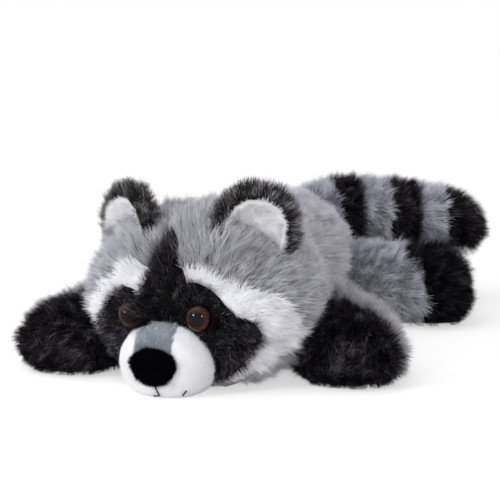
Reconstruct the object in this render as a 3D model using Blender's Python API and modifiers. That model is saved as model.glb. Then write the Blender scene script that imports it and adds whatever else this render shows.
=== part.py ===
"""Plush raccoon lying flat on its belly, legs and arms spread, tail curled to its left.

Metres, +Z up. The nose points towards -Y and the toy's left side is +X. The origin is on
the table, under the belly. Sewn cloth pieces are closed shells of one cloth thickness, and
each sewn part of the toy is filled with one body of stuffing.
"""

import math
from dataclasses import dataclass

import bmesh
import bpy
from mathutils import Matrix, Vector

# Clearances and cloth
GAP = 0.0003  # between pieces that touch or are sewn together
FUR_CLOTH = 0.0045  # backing and the dense foot of the pile
VELOUR_CLOTH = 0.0022
LINING_CLOTH = 0.0024

# Head, in its own frame: it faces -Y and stands over the neck point
HEAD_LENGTH = 0.112
HEAD_WIDTH = 0.1435
HEAD_HEIGHT = 0.105
HEAD_OFFSET = 0.0035  # the head's middle, to the left of the muzzle's
HEAD_BACK = 0.048  # from the neck point back to the end of the head
HEAD_TURN = math.radians(6.5)  # towards the toy's right
FACE_ROLL = math.radians(2.5)  # the left side of the face sits higher
ROLL_LEVEL = 0.045  # height of the point that the face is rolled about
NECK_X = -0.0015
NECK_Y = -0.082

# Muzzle and nose
MUZZLE_WIDTH = 0.062
MUZZLE_HEIGHT = 0.044
MUZZLE_REACH = 0.079  # its front, from the neck point
MUZZLE_DEPTH = 0.046
BRIDGE_WIDTH = 0.025
BRIDGE_LEAN = -0.18  # across for each step up: the bridge runs up towards the toy's right
NOSE_WIDTH = 0.0285
NOSE_HEIGHT = 0.0225
NOSE_DEPTH = 0.013
NOSE_LEVEL = 0.0190

# Eyes: moulded safety eyes, each held by a washer behind the cloth
EYE_DIAMETER = 0.016
EYE_DOME = 0.0062
EYE_RIM = 0.0012
EYE_SPACING = 0.0485
EYE_GLANCE = (0.30, -0.80, 0.0)  # turns both eyes ahead and a little to the left
EYE_LEVEL = 0.0455
SHANK_DIAMETER = 0.0042
SHANK_LENGTH = 0.013
WASHER_DIAMETER = 0.0125
WASHER_THICKNESS = 0.0016

# Ears
EAR_WIDTH = 0.0525
EAR_HEIGHT = 0.066
EAR_THICKNESS = 0.019
EAR_SQUARENESS = 2.6  # 2 gives an oval ear, more a squarer one
EAR_SPREAD = 0.079  # between the middles of the two ears
EAR_OFFSET = 0.0025  # their middle, to the left of the muzzle's
EAR_FORWARD = 0.026
EAR_LEVEL = 0.0875
EAR_DROP = 0.0015  # the right ear is sewn on this much lower
EAR_SPLAY = math.radians(28)
EAR_TILT = math.radians(18)
EAR_HEM = 0.0062  # fur that shows round the lining
EAR_HOLLOW = 0.012

# Torso
TORSO_LENGTH = 0.172
TORSO_WIDTH = 0.100
TORSO_HEIGHT = 0.095
TORSO_FRONT = -0.052
BELLY_SEAM = 0.022

# Arms and legs
ARM_WIDTH = 0.056
ARM_HEIGHT = 0.052
PAW_WIDTH = 0.068
PAW_HEIGHT = 0.042
ARM_SEAM = 0.67  # share of the arm's length where the paw is sewn on
ARM_SEAM_SKEW = math.radians(44)  # the paw's cloth reaches further up the inside
LEG_WIDTH = 0.062
LEG_HEIGHT = 0.050
FOOT_WIDTH = 0.060
FOOT_HEIGHT = 0.051
LEG_SEAM = 0.72
ARM_LEFT_PATH = ((0.022, -0.024), (0.058, -0.042), (0.081, -0.063), (0.090, -0.087), (0.092, -0.111))
ARM_RIGHT_PATH = ((-0.022, -0.024), (-0.054, -0.050), (-0.074, -0.077), (-0.083, -0.104), (-0.086, -0.130))
LEG_LEFT_PATH = ((0.020, 0.084), (0.054, 0.082), (0.083, 0.085), (0.106, 0.091), (0.126, 0.097))
LEG_RIGHT_PATH = ((-0.020, 0.084), (-0.054, 0.082), (-0.082, 0.087), (-0.105, 0.096), (-0.125, 0.107))

# Tail
TAIL_DIAMETER = 0.041
TAIL_PATH = (
    (0.006, 0.092, 0.061),
    (0.019, 0.111, 0.0665),
    (0.042, 0.125, 0.0675),
    (0.068, 0.1375, 0.0645),
    (0.093, 0.149, 0.060),
    (0.111, 0.156, 0.057),
    (0.124, 0.160, 0.0555),
)
TAIL_RINGS = ("tail_ring_1_grey", "tail_ring_2_black", "tail_ring_3_grey", "tail_ring_4_black", "tail_ring_5_grey")
TAIL_SEAMS = (0.00, 0.215, 0.355, 0.505, 0.655, 0.797)  # shares of the tail's length

# Fineness of the soft forms: sides of a section, and how often a surface is smoothed
LIMB_SIDES = 8
HEAD_SIDES = 12
SHOWN = 1
HIDDEN = 0  # inner sides of cloth, and fillings
TURNED_STEPS = 12
HALF_SPACE = 0.6  # side of a block that cuts away all beyond a seam
CRUMB = 0.000002  # cuts leave points this close together, which are made one


@dataclass(frozen=True)
class Ring:
    """One section of a stuffed form: an ellipse across a level axis.

    heading is the axis direction in plan, in radians from +X. middle is the height of the
    widest place, top and bottom the heights of the highest and lowest.
    """

    x: float
    y: float
    heading: float
    half_width: float
    middle: float
    top: float
    bottom: float
    jowl: float = 1.0


def clear_scene():
    for obj in list(bpy.data.objects):
        bpy.data.objects.remove(obj, do_unlink=True)
    for collection in list(bpy.data.collections):
        bpy.data.collections.remove(collection)


def make_collection(name):
    collection = bpy.data.collections.new(name)
    bpy.context.scene.collection.children.link(collection)
    return collection


def make_material(name, colour, roughness):
    material = bpy.data.materials.new(name)
    material.use_nodes = True
    shader = material.node_tree.nodes["Principled BSDF"]
    shader.inputs["Base Color"].default_value = (*colour, 1)
    shader.inputs["Roughness"].default_value = roughness
    shader.inputs["Metallic"].default_value = 0
    return material


clear_scene()
TOY = make_collection("plush_raccoon")
CUTTERS = make_collection("cutters")

GREY_FUR = make_material("grey_fur", (0.26, 0.27, 0.31), 0.95)
PALE_GREY_FUR = make_material("pale_grey_fur", (0.40, 0.39, 0.42), 0.95)
WHITE_FUR = make_material("white_fur", (0.80, 0.80, 0.86), 0.95)
BLACK_FUR = make_material("black_fur", (0.016, 0.014, 0.016), 0.92)
WHITE_VELOUR = make_material("white_velour", (0.82, 0.82, 0.84), 0.9)
GREY_VELOUR = make_material("grey_velour", (0.24, 0.27, 0.32), 0.9)
BLACK_VELOUR = make_material("black_velour", (0.005, 0.005, 0.007), 0.85)
EYE_PLASTIC = make_material("eye_plastic", (0.10, 0.025, 0.008), 0.08)
WASHER_PLASTIC = make_material("washer_plastic", (0.75, 0.75, 0.72), 0.45)
FIBRE_FILL = make_material("fibre_fill", (0.85, 0.85, 0.83), 1.0)


def add_object(name, mesh, collection, material=None, parent=None):
    obj = bpy.data.objects.new(name, mesh)
    collection.objects.link(obj)
    obj.parent = parent
    if material:
        mesh.materials.clear()
        mesh.materials.append(material)
    if collection is CUTTERS:
        obj.hide_render = True
        obj.display_type = "WIRE"
    return obj


def evaluated_mesh(obj):
    """A mesh of the object with its modifiers applied, in its own coordinates."""
    bpy.context.view_layer.update()
    graph = bpy.context.evaluated_depsgraph_get()
    return bpy.data.meshes.new_from_object(obj.evaluated_get(graph))


def drop(obj):
    bpy.data.objects.remove(obj, do_unlink=True)


def boolean(obj, cutter, operation):
    """Both meshes are closed; EXACT fails where two undersides are pressed flat in one plane."""
    modifier = obj.modifiers.new(f"{operation.lower()} {cutter.name}", "BOOLEAN")
    modifier.operation = operation
    modifier.solver = "MANIFOLD"
    modifier.object = cutter


def cut_away(obj, *cutters):
    for cutter in cutters:
        boolean(obj, cutter, "DIFFERENCE")


def keep_inside(obj, cutter):
    boolean(obj, cutter, "INTERSECT")


def join_on(obj, other):
    boolean(obj, other, "UNION")


def cage_ring(mesh, ring, sides, inset, step, spread):
    """The vertices of one section of the cage; step moves the section along its axis."""
    axis = Vector((math.cos(ring.heading), math.sin(ring.heading), 0))
    side = Vector((-axis.y, axis.x, 0))
    centre = Vector((ring.x, ring.y, ring.middle)) + axis * step
    vertices = []
    for index in range(sides):
        angle = math.tau * index / sides
        rise = ring.top - ring.middle if math.sin(angle) > 0 else ring.middle - ring.bottom
        narrowing = ring.jowl if math.sin(angle) < -0.1 else 1.0
        across = max(ring.half_width - inset, 0.001) * math.cos(angle) * spread * narrowing
        above = max(rise - inset, 0.001) * math.sin(angle) * spread
        vertices.append(mesh.verts.new(centre + side * across + Vector((0, 0, above))))
    return vertices


def stuffed_mesh(name, rings, inset=0.0, floor=0.0, sides=LIMB_SIDES, smoothing=SHOWN):
    """A closed soft form through the rings, set in by inset and pressed flat on floor.

    Its quads are all split the same way, so that two forms one inside the other keep apart.
    """
    cage = bmesh.new()
    spread = 3 / (2 + math.cos(math.tau / sides)) if smoothing else 1.0  # what smoothing takes off
    last = len(rings) - 1
    loops = []
    for index, ring in enumerate(rings):
        step = inset if index == 0 else -inset if index == last else 0.0
        loops.append(cage_ring(cage, ring, sides, inset, step, spread))
    for before, after in zip(loops, loops[1:]):
        for index in range(sides):
            following = (index + 1) % sides
            cage.faces.new((before[index], before[following], after[following], after[index]))
    cage.faces.new(loops[0])
    cage.faces.new(loops[-1])
    bmesh.ops.recalc_face_normals(cage, faces=cage.faces)
    mesh = bpy.data.meshes.new(name)
    cage.to_mesh(mesh)
    cage.free()
    form = add_object(name, mesh, CUTTERS)
    subdivision = form.modifiers.new("soft", "SUBSURF")
    subdivision.levels = subdivision.render_levels = smoothing
    soft = evaluated_mesh(form)
    drop(form)
    for vertex in soft.vertices:
        vertex.co.z = max(vertex.co.z, floor)
    split = bmesh.new()
    split.from_mesh(soft)
    bmesh.ops.triangulate(split, faces=split.faces, quad_method="FIXED")
    split.to_mesh(soft)
    split.free()
    soft.shade_smooth()
    return soft


def cutter_form(name, rings, inset=0.0, floor=0.0, sides=LIMB_SIDES, parent=None, smoothing=SHOWN):
    mesh = stuffed_mesh(name, rings, inset, floor, sides, smoothing)
    return add_object(name, mesh, CUTTERS, parent=parent)


def ellipsoid(name, size, place, parent, turn=Matrix.Identity(4), segments=16, squareness=2.0):
    """A closed ball scaled to size, centred at place; squareness above 2 fills its front view's corners."""
    ball = bmesh.new()
    bmesh.ops.create_uvsphere(ball, u_segments=segments, v_segments=segments // 2 + 2, radius=0.5)
    for vertex in ball.verts:
        reach = math.hypot(vertex.co.x, vertex.co.z)
        if reach > 0:
            shares = (abs(vertex.co.x) / reach, abs(vertex.co.z) / reach)
            swell = sum(share**squareness for share in shares) ** (-1 / squareness)
            vertex.co.x *= swell
            vertex.co.z *= swell
    bmesh.ops.transform(ball, matrix=Matrix.Diagonal((*size, 1)), verts=ball.verts)
    bmesh.ops.transform(ball, matrix=Matrix.Translation(place) @ turn, verts=ball.verts)
    mesh = bpy.data.meshes.new(name)
    ball.to_mesh(mesh)
    ball.free()
    mesh.shade_smooth()
    return add_object(name, mesh, CUTTERS, parent=parent)


def block(name, matrix, parent=None):
    """A large box whose near face lies at the matrix's origin and which reaches along its +X."""
    box = bmesh.new()
    bmesh.ops.create_cube(box, size=HALF_SPACE)
    bmesh.ops.translate(box, verts=box.verts, vec=(HALF_SPACE / 2, 0, 0))
    bmesh.ops.transform(box, matrix=matrix, verts=box.verts)
    mesh = bpy.data.meshes.new(name)
    box.to_mesh(mesh)
    box.free()
    return add_object(name, mesh, CUTTERS, parent=parent)


def outline_prism(name, points, grow, start, end, parent):
    """A prism over a smooth closed outline in the head's front view, from start to end along -Y.

    points are (across, height); grow widens the outline all round.
    """
    flat = bpy.data.curves.new(name, "CURVE")
    flat.dimensions = "2D"
    flat.fill_mode = "BOTH"
    flat.extrude = (end - start) / 2
    flat.resolution_u = 3
    flat.offset = grow
    spline = flat.splines.new("BEZIER")
    spline.bezier_points.add(len(points) - 1)
    for point, (across, height) in zip(spline.bezier_points, points):
        point.co = (across, height, 0)
        point.handle_left_type = point.handle_right_type = "AUTO"
    spline.use_cyclic_u = True
    curve = add_object(name, flat, CUTTERS)
    mesh = evaluated_mesh(curve)
    drop(curve)
    prism = bmesh.new()
    prism.from_mesh(mesh)
    bmesh.ops.remove_doubles(prism, verts=prism.verts, dist=1e-6)
    upright = Matrix.Translation((0, -(start + end) / 2, 0)) @ Matrix.Rotation(math.pi / 2, 4, "X")
    bmesh.ops.transform(prism, matrix=upright, verts=prism.verts)
    bmesh.ops.recalc_face_normals(prism, faces=prism.faces)
    prism.to_mesh(mesh)
    prism.free()
    return add_object(name, mesh, CUTTERS, parent=parent)


class Route:
    """A smooth line through a few points, read by the share of its length."""

    STEPS = 24

    def __init__(self, points):
        given = [Vector((*point, 0)) if len(point) == 2 else Vector(point) for point in points]
        padded = [2 * given[0] - given[1], *given, 2 * given[-1] - given[-2]]
        self.line = [given[0]]
        for before, start, end, after in zip(padded, padded[1:], padded[2:], padded[3:]):
            for step in range(1, self.STEPS + 1):
                t = step / self.STEPS
                self.line.append(
                    0.5
                    * (
                        2 * start
                        + (end - before) * t
                        + (2 * before - 5 * start + 4 * end - after) * t**2
                        + (3 * start - before - 3 * end + after) * t**3
                    )
                )
        self.reached = [0.0]
        for start, end in zip(self.line, self.line[1:]):
            self.reached.append(self.reached[-1] + (end - start).length)

    def at(self, share):
        """The point at this share of the length, and the heading there in plan."""
        wanted = min(max(share, 0.0), 1.0) * self.reached[-1]
        index = next(i for i in range(1, len(self.line)) if self.reached[i] >= wanted - 1e-12)
        start, end = self.line[index - 1], self.line[index]
        part = (wanted - self.reached[index - 1]) / (end - start).length
        return start.lerp(end, part), math.atan2(end.y - start.y, end.x - start.x)

    def seam(self, share, step=0.0, backward=False, skew=0.0):
        """A matrix at the seam whose +X runs along the route, or back along it.

        skew turns the seam's plane from square across the route.
        """
        point, heading = self.at(share)
        heading += skew
        along = Vector((math.cos(heading), math.sin(heading), 0))
        turn = math.pi if backward else 0.0
        return Matrix.Translation(point + along * step) @ Matrix.Rotation(heading + turn, 4, "Z")


# The head's form, as shares of its length, half width and height

HEAD_SHAPE = (
    # along, half width, middle, top, bottom, jowl
    (0.00, 0.34, 0.50, 0.74, 0.26, 1.0),
    (0.10, 0.70, 0.49, 0.88, 0.10, 1.0),
    (0.32, 0.94, 0.49, 0.98, -0.02, 0.97),
    (0.54, 1.00, 0.48, 1.00, -0.08, 0.94),
    (0.74, 0.96, 0.45, 0.93, -0.10, 0.90),
    (0.90, 0.77, 0.42, 0.74, -0.06, 0.90),
    (1.00, 0.48, 0.38, 0.54, 0.12, 1.0),
)
MUZZLE_SHAPE = (
    (0.00, 0.86, 0.42, 0.96, -0.10, 1.0),
    (0.45, 1.00, 0.42, 1.00, -0.16, 1.0),
    (0.80, 0.90, 0.42, 0.92, -0.14, 1.0),
    (1.00, 0.54, 0.42, 0.72, 0.06, 1.0),
)
TORSO_SHAPE = (
    (0.00, 0.60, 0.46, 0.78, 0.12, 1.0),
    (0.16, 0.90, 0.46, 0.94, -0.02, 1.0),
    (0.40, 1.00, 0.46, 1.00, -0.04, 1.0),
    (0.65, 1.00, 0.45, 0.96, -0.04, 1.0),
    (0.86, 0.86, 0.42, 0.86, -0.03, 1.0),
    (1.00, 0.46, 0.42, 0.66, 0.14, 1.0),
)


def shaped_rings(shape, start, heading, length, width, height):
    """Rings along a level axis from start, from shares of the three sizes."""
    axis = Vector((math.cos(heading), math.sin(heading), 0))
    rings = []
    for along, half, middle, top, bottom, jowl in shape:
        place = Vector(start) + axis * along * length
        rings.append(
            Ring(
                place.x,
                place.y,
                heading,
                half * width / 2,
                middle * height,
                top * height,
                bottom * height,
                jowl,
            )
        )
    return rings


def head_rings():
    return shaped_rings(HEAD_SHAPE, (HEAD_OFFSET, HEAD_BACK, 0), -math.pi / 2, HEAD_LENGTH, HEAD_WIDTH, HEAD_HEIGHT)


def muzzle_rings():
    start = (0, MUZZLE_DEPTH - MUZZLE_REACH, 0)
    return shaped_rings(MUZZLE_SHAPE, start, -math.pi / 2, MUZZLE_DEPTH, MUZZLE_WIDTH, MUZZLE_HEIGHT)


def torso_rings():
    return shaped_rings(TORSO_SHAPE, (0, TORSO_FRONT, 0), math.pi / 2, TORSO_LENGTH, TORSO_WIDTH, TORSO_HEIGHT)


# Limbs: share of the length, size as a share from root to end, fullness of that size
# Tail: share of the length, fullness

ARM_SHAPE = (
    (0.00, 0.0, 0.88),
    (0.25, 0.1, 0.98),
    (0.52, 0.5, 0.98),
    (0.76, 1.0, 1.04),
    (0.93, 1.0, 0.86),
    (1.00, 1.0, 0.50),
)
LEG_SHAPE = (
    (0.00, 0.0, 0.80),
    (0.24, 0.1, 0.98),
    (0.47, 0.3, 1.04),
    (0.66, 0.7, 0.92),
    (0.82, 1.0, 1.02),
    (0.94, 1.0, 0.84),
    (1.00, 1.0, 0.50),
)
TAIL_SHAPE = (
    (0.00, 0.98),
    (0.12, 1.02),
    (0.25, 1.06),
    (0.38, 1.08),
    (0.51, 1.08),
    (0.64, 1.08),
    (0.77, 1.06),
    (0.88, 1.00),
    (0.96, 0.74),
    (1.00, 0.44),
)
LIMB_MIDDLE = 0.38  # level of a limb's widest place, as a share of its height
PRESSED = 0.24  # share of a limb's height that lying on the table flattens


def limb_rings(shape, route, width, height, end_width, end_height):
    """Rings of an arm or leg that lies on the table."""
    rings = []
    for share, blend, fullness in shape:
        point, heading = route.at(share)
        across = (width + (end_width - width) * blend) * fullness
        tall = height + (end_height - height) * blend
        middle = tall * LIMB_MIDDLE
        rings.append(
            Ring(
                point.x,
                point.y,
                heading,
                across / 2,
                middle,
                middle + (tall - middle) * fullness,
                middle - (middle + PRESSED * tall) * fullness,
            )
        )
    return rings


def tail_rings(route):
    """Rings of the tail, which ends round."""
    rings = []
    for share, fullness in TAIL_SHAPE:
        point, heading = route.at(share)
        radius = TAIL_DIAMETER / 2 * fullness
        rings.append(Ring(point.x, point.y, heading, radius, point.z, point.z + radius, point.z - radius))
    return rings


# Pieces


def cloth_shell(name, rings, cloth, sides=LIMB_SIDES, parent=None, smoothing=HIDDEN):
    """The sewn cloth round a stuffed form, as a helper that pieces are taken from."""
    outer = cutter_form(f"{name}_outer", rings, 0.0, 0.0, sides, parent)
    cut_away(outer, cutter_form(f"{name}_inside", rings, cloth, cloth, sides, parent, smoothing))
    return outer


def stuffing(name, rings, cloth, sides=LIMB_SIDES, parent=None, smoothing=HIDDEN):
    """The body of filling that keeps clear of the cloth's inner side."""
    mesh = stuffed_mesh(name, rings, cloth + GAP, cloth + GAP, sides, smoothing)
    return add_object(name, mesh, TOY, FIBRE_FILL, parent)


def piece_of(name, helper, material, parent=None):
    """A new piece that starts as a copy of a helper's solid."""
    return add_object(name, evaluated_mesh(helper), TOY, material, parent)


def sewn_limb(names, rings, route, seam, skew, materials, neighbours):
    """An arm or leg: upper sleeve, sewn-on end and stuffing, each trimmed by the neighbours."""
    upper_name, end_name, filling_name = names
    shell = cloth_shell(upper_name, rings, FUR_CLOTH)
    upper = piece_of(upper_name, shell, materials[0])
    beyond = block(f"{upper_name}_seam", route.seam(seam, -GAP / 2, skew=skew))
    cut_away(upper, beyond, *neighbours)
    end = piece_of(end_name, shell, materials[1])
    before = block(f"{end_name}_seam", route.seam(seam, GAP / 2, backward=True, skew=skew))
    cut_away(end, before, *neighbours)
    filling = stuffing(filling_name, rings, FUR_CLOTH)
    cut_away(filling, *neighbours)
    drop(shell)


def turned_mesh(name, profile, closed=False):
    """A profile of (radius, height) points turned round Z."""
    mesh = bpy.data.meshes.new(name)
    edges = [(index, index + 1) for index in range(len(profile) - 1)]
    if closed:
        edges.append((len(profile) - 1, 0))
    mesh.from_pydata([(radius, 0, height) for radius, height in profile], edges, [])
    obj = add_object(name, mesh, CUTTERS)
    screw = obj.modifiers.new("turned", "SCREW")
    screw.steps = screw.render_steps = TURNED_STEPS
    screw.use_merge_vertices = True
    screw.merge_threshold = 1e-6
    turned = evaluated_mesh(obj)
    drop(obj)
    solid = bmesh.new()
    solid.from_mesh(turned)
    bmesh.ops.remove_doubles(solid, verts=solid.verts, dist=1e-6)
    bmesh.ops.recalc_face_normals(solid, faces=solid.faces)
    solid.to_mesh(turned)
    solid.free()
    turned.shade_smooth()
    return turned


# Torso and the trimming helpers that its neighbours share

head_pivot = bpy.data.objects.new("head_pivot", None)
TOY.objects.link(head_pivot)
head_pivot.location = (NECK_X, NECK_Y, 0)
head_pivot.rotation_euler = (0, 0, -HEAD_TURN)

HEAD_RINGS = head_rings()
MUZZLE_RINGS = muzzle_rings()
TORSO_RINGS = torso_rings()
head_clear = cutter_form("head_clear", HEAD_RINGS, -GAP, -GAP, HEAD_SIDES, head_pivot)
torso_clear = cutter_form("torso_clear", TORSO_RINGS, -GAP, -GAP)


def make_torso():
    """A pale back and a belly panel round one filling, cut hollow where the head is sewn on."""
    shell = cloth_shell("torso", TORSO_RINGS, FUR_CLOTH)
    upward = Matrix.Rotation(-math.pi / 2, 4, "Y")
    downward = Matrix.Rotation(math.pi / 2, 4, "Y")
    back = piece_of("torso_back", shell, PALE_GREY_FUR)
    below = block("below_belly_seam", Matrix.Translation((0, 0, BELLY_SEAM + GAP / 2)) @ downward)
    cut_away(back, below, head_clear)
    belly = piece_of("torso_belly", shell, PALE_GREY_FUR)
    above = block("above_belly_seam", Matrix.Translation((0, 0, BELLY_SEAM - GAP / 2)) @ upward)
    cut_away(belly, above, head_clear)
    cut_away(stuffing("torso_stuffing", TORSO_RINGS, FUR_CLOTH), head_clear)
    drop(shell)


def make_limbs():
    arms = (("left", ARM_LEFT_PATH, -ARM_SEAM_SKEW), ("right", ARM_RIGHT_PATH, ARM_SEAM_SKEW))
    for side, path, skew in arms:
        route = Route(path)
        rings = limb_rings(ARM_SHAPE, route, ARM_WIDTH, ARM_HEIGHT, PAW_WIDTH, PAW_HEIGHT)
        names = (f"arm_sleeve_{side}", f"paw_{side}", f"arm_stuffing_{side}")
        sewn_limb(names, rings, route, ARM_SEAM, skew, (PALE_GREY_FUR, BLACK_FUR), (torso_clear, head_clear))
    legs = (("left", LEG_LEFT_PATH), ("right", LEG_RIGHT_PATH))
    for side, path in legs:
        route = Route(path)
        rings = limb_rings(LEG_SHAPE, route, LEG_WIDTH, LEG_HEIGHT, FOOT_WIDTH, FOOT_HEIGHT)
        names = (f"thigh_{side}", f"foot_{side}", f"leg_stuffing_{side}")
        sewn_limb(names, rings, route, LEG_SEAM, 0.0, (GREY_FUR, BLACK_FUR), (torso_clear,))


def make_tail():
    """Five sewn rings and a tip round one filling; the tail leans on the left leg."""
    route = Route(TAIL_PATH)
    rings = tail_rings(route)
    leg_route = Route(LEG_LEFT_PATH)
    leg_rings = limb_rings(LEG_SHAPE, leg_route, LEG_WIDTH, LEG_HEIGHT, FOOT_WIDTH, FOOT_HEIGHT)
    leg_clear = cutter_form("leg_clear", leg_rings, -GAP, -GAP)
    shell = cloth_shell("tail", rings, FUR_CLOTH)
    ends = (*TAIL_SEAMS[1:], None)
    for name, start, end in zip((*TAIL_RINGS, "tail_tip"), TAIL_SEAMS, ends):
        black = "black" in name or name == "tail_tip"
        ring = piece_of(name, shell, BLACK_FUR if black else GREY_FUR)
        if start > 0:
            cut_away(ring, block(f"{name}_start", route.seam(start, GAP / 2, backward=True)))
        if end:
            cut_away(ring, block(f"{name}_end", route.seam(end, -GAP / 2)))
        cut_away(ring, torso_clear, leg_clear)
    cut_away(stuffing("tail_stuffing", rings, FUR_CLOTH), torso_clear, leg_clear)
    drop(shell)


# Face outlines in the head's front view: (across, height), across to the toy's left

BLAZE = (
    (-0.0028, 0.0915),
    (0.0004, 0.0886),
    (0.0042, 0.0802),
    (0.0090, 0.0724),
    (0.0118, 0.0665),
    (0.0128, 0.0590),
    (0.0130, 0.0360),
    (-0.0175, 0.0360),
    (-0.0190, 0.0530),
    (-0.0178, 0.0600),
    (-0.0150, 0.0665),
    (-0.0112, 0.0770),
    (-0.0080, 0.0852),
    (-0.0056, 0.0898),
)
MASK_LEFT = (
    (0.0090, 0.0560),
    (0.0104, 0.0650),
    (0.0160, 0.0666),
    (0.0230, 0.0650),
    (0.0315, 0.0600),
    (0.0372, 0.0535),
    (0.0435, 0.0482),
    (0.0520, 0.0432),
    (0.0568, 0.0350),
    (0.0535, 0.0275),
    (0.0490, 0.0212),
    (0.0430, 0.0138),
    (0.0340, 0.0075),
    (0.0180, 0.0070),
    (0.0100, 0.0300),
)
MASK_RIGHT = (
    (-0.0100, 0.0480),
    (-0.0150, 0.0520),
    (-0.0180, 0.0562),
    (-0.0208, 0.0600),
    (-0.0260, 0.0620),
    (-0.0328, 0.0606),
    (-0.0394, 0.0554),
    (-0.0440, 0.0486),
    (-0.0474, 0.0415),
    (-0.0496, 0.0338),
    (-0.0496, 0.0258),
    (-0.0450, 0.0165),
    (-0.0350, 0.0090),
    (-0.0180, 0.0070),
    (-0.0100, 0.0300),
)
BROW_LEFT = (
    (0.0060, 0.0600),
    (0.0062, 0.0725),
    (0.0120, 0.0736),
    (0.0205, 0.0732),
    (0.0330, 0.0684),
    (0.0435, 0.0634),
    (0.0550, 0.0608),
    (0.0645, 0.0565),
    (0.0692, 0.0475),
    (0.0698, 0.0375),
    (0.0672, 0.0282),
    (0.0608, 0.0205),
    (0.0510, 0.0138),
    (0.0395, 0.0068),
    (0.0340, 0.0080),
    (0.0450, 0.0200),
    (0.0490, 0.0340),
    (0.0430, 0.0430),
    (0.0320, 0.0530),
    (0.0150, 0.0580),
)
BROW_RIGHT = (
    (-0.0070, 0.0560),
    (-0.0082, 0.0660),
    (-0.0130, 0.0716),
    (-0.0175, 0.0746),
    (-0.0235, 0.0752),
    (-0.0315, 0.0734),
    (-0.0390, 0.0678),
    (-0.0450, 0.0618),
    (-0.0510, 0.0548),
    (-0.0562, 0.0465),
    (-0.0584, 0.0375),
    (-0.0574, 0.0280),
    (-0.0525, 0.0185),
    (-0.0440, 0.0100),
    (-0.0360, 0.0065),
    (-0.0340, 0.0100),
    (-0.0430, 0.0210),
    (-0.0450, 0.0330),
    (-0.0400, 0.0440),
    (-0.0320, 0.0530),
    (-0.0220, 0.0530),
    (-0.0130, 0.0500),
)
FACE_START = 0.012  # the face pieces lie ahead of this plane, from the neck point
FACE_END = 0.090


def rolled(across, height):
    """A point of the front view, turned with the face about its middle."""
    rise = height - ROLL_LEVEL
    cosine, sine = math.cos(FACE_ROLL), math.sin(FACE_ROLL)
    return across * cosine - rise * sine, ROLL_LEVEL + across * sine + rise * cosine


def face_prism(name, points, grow):
    turned = [rolled(*point) for point in points]
    return outline_prism(name, turned, grow, FACE_START - grow, FACE_END, head_pivot)


def make_face():
    """Crown, blaze, masks and brow bands, cut from one shell by their outlines."""
    shell = cloth_shell("head", HEAD_RINGS, FUR_CLOTH, HEAD_SIDES, head_pivot, SHOWN)
    muzzle_clear = cutter_form("muzzle_clear", MUZZLE_RINGS, -GAP, -GAP, HEAD_SIDES, head_pivot)
    eye_seats = [eye_seat(side) for side in (1, -1)]
    blaze_shape = face_prism("blaze_outline", BLAZE, 0)
    blaze_room = face_prism("blaze_room", BLAZE, GAP)
    blaze = piece_of("blaze", shell, BLACK_FUR, head_pivot)
    keep_inside(blaze, blaze_shape)
    cut_away(blaze, muzzle_clear, *eye_seats)
    rooms = [blaze_room]
    for side, mask_outline, brow_outline in (("left", MASK_LEFT, BROW_LEFT), ("right", MASK_RIGHT, BROW_RIGHT)):
        mask = piece_of(f"mask_{side}", shell, BLACK_FUR, head_pivot)
        keep_inside(mask, face_prism(f"mask_outline_{side}", mask_outline, 0))
        cut_away(mask, blaze_room, muzzle_clear, *eye_seats)
        mask_room = face_prism(f"mask_room_{side}", mask_outline, GAP)
        band = piece_of(f"brow_band_{side}", shell, WHITE_FUR, head_pivot)
        keep_inside(band, face_prism(f"brow_outline_{side}", brow_outline, 0))
        cut_away(band, blaze_room, mask_room, muzzle_clear, *eye_seats)
        rooms += [mask_room, face_prism(f"brow_room_{side}", brow_outline, GAP)]
    crown = piece_of("head_crown", shell, GREY_FUR, head_pivot)
    cut_away(crown, *rooms, muzzle_clear)
    drop(shell)
    return eye_seats


def make_muzzle(eye_seats):
    """Two white sides and a grey bridge, with the nose pad on the front."""
    shell = cloth_shell("muzzle", MUZZLE_RINGS, VELOUR_CLOTH, HEAD_SIDES, head_pivot, SHOWN)
    head_inside = cutter_form("muzzle_root", HEAD_RINGS, FUR_CLOTH, FUR_CLOTH, HEAD_SIDES, head_pivot)
    half, low = BRIDGE_WIDTH / 2, NOSE_LEVEL
    strip = ((half, low), (half, 2 * MUZZLE_HEIGHT), (-half, 2 * MUZZLE_HEIGHT), (-half, low))
    bridge = piece_of("muzzle_bridge", shell, GREY_VELOUR, head_pivot)
    keep_inside(bridge, strip_prism("bridge_outline", strip, 0))
    cut_away(bridge, head_inside, *eye_seats)
    bridge_room = strip_prism("bridge_room", strip, GAP)
    for side, turn in (("left", math.pi), ("right", 0.0)):
        other = Matrix.Rotation(turn, 4, "Z") @ Matrix.Translation((-GAP / 2, 0, 0))
        panel = piece_of(f"muzzle_{side}", shell, WHITE_VELOUR, head_pivot)
        cut_away(panel, block(f"muzzle_{side}_seam", other, head_pivot), bridge_room, head_inside, *eye_seats)
    drop(shell)
    nose = ellipsoid("nose_form", (NOSE_WIDTH, NOSE_DEPTH, NOSE_HEIGHT), (0, -MUZZLE_REACH, NOSE_LEVEL), head_pivot)
    pad = piece_of("nose", nose, BLACK_VELOUR, head_pivot)
    cut_away(pad, cutter_form("nose_seat", MUZZLE_RINGS, -GAP, -GAP, HEAD_SIDES, head_pivot))
    drop(nose)


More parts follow.
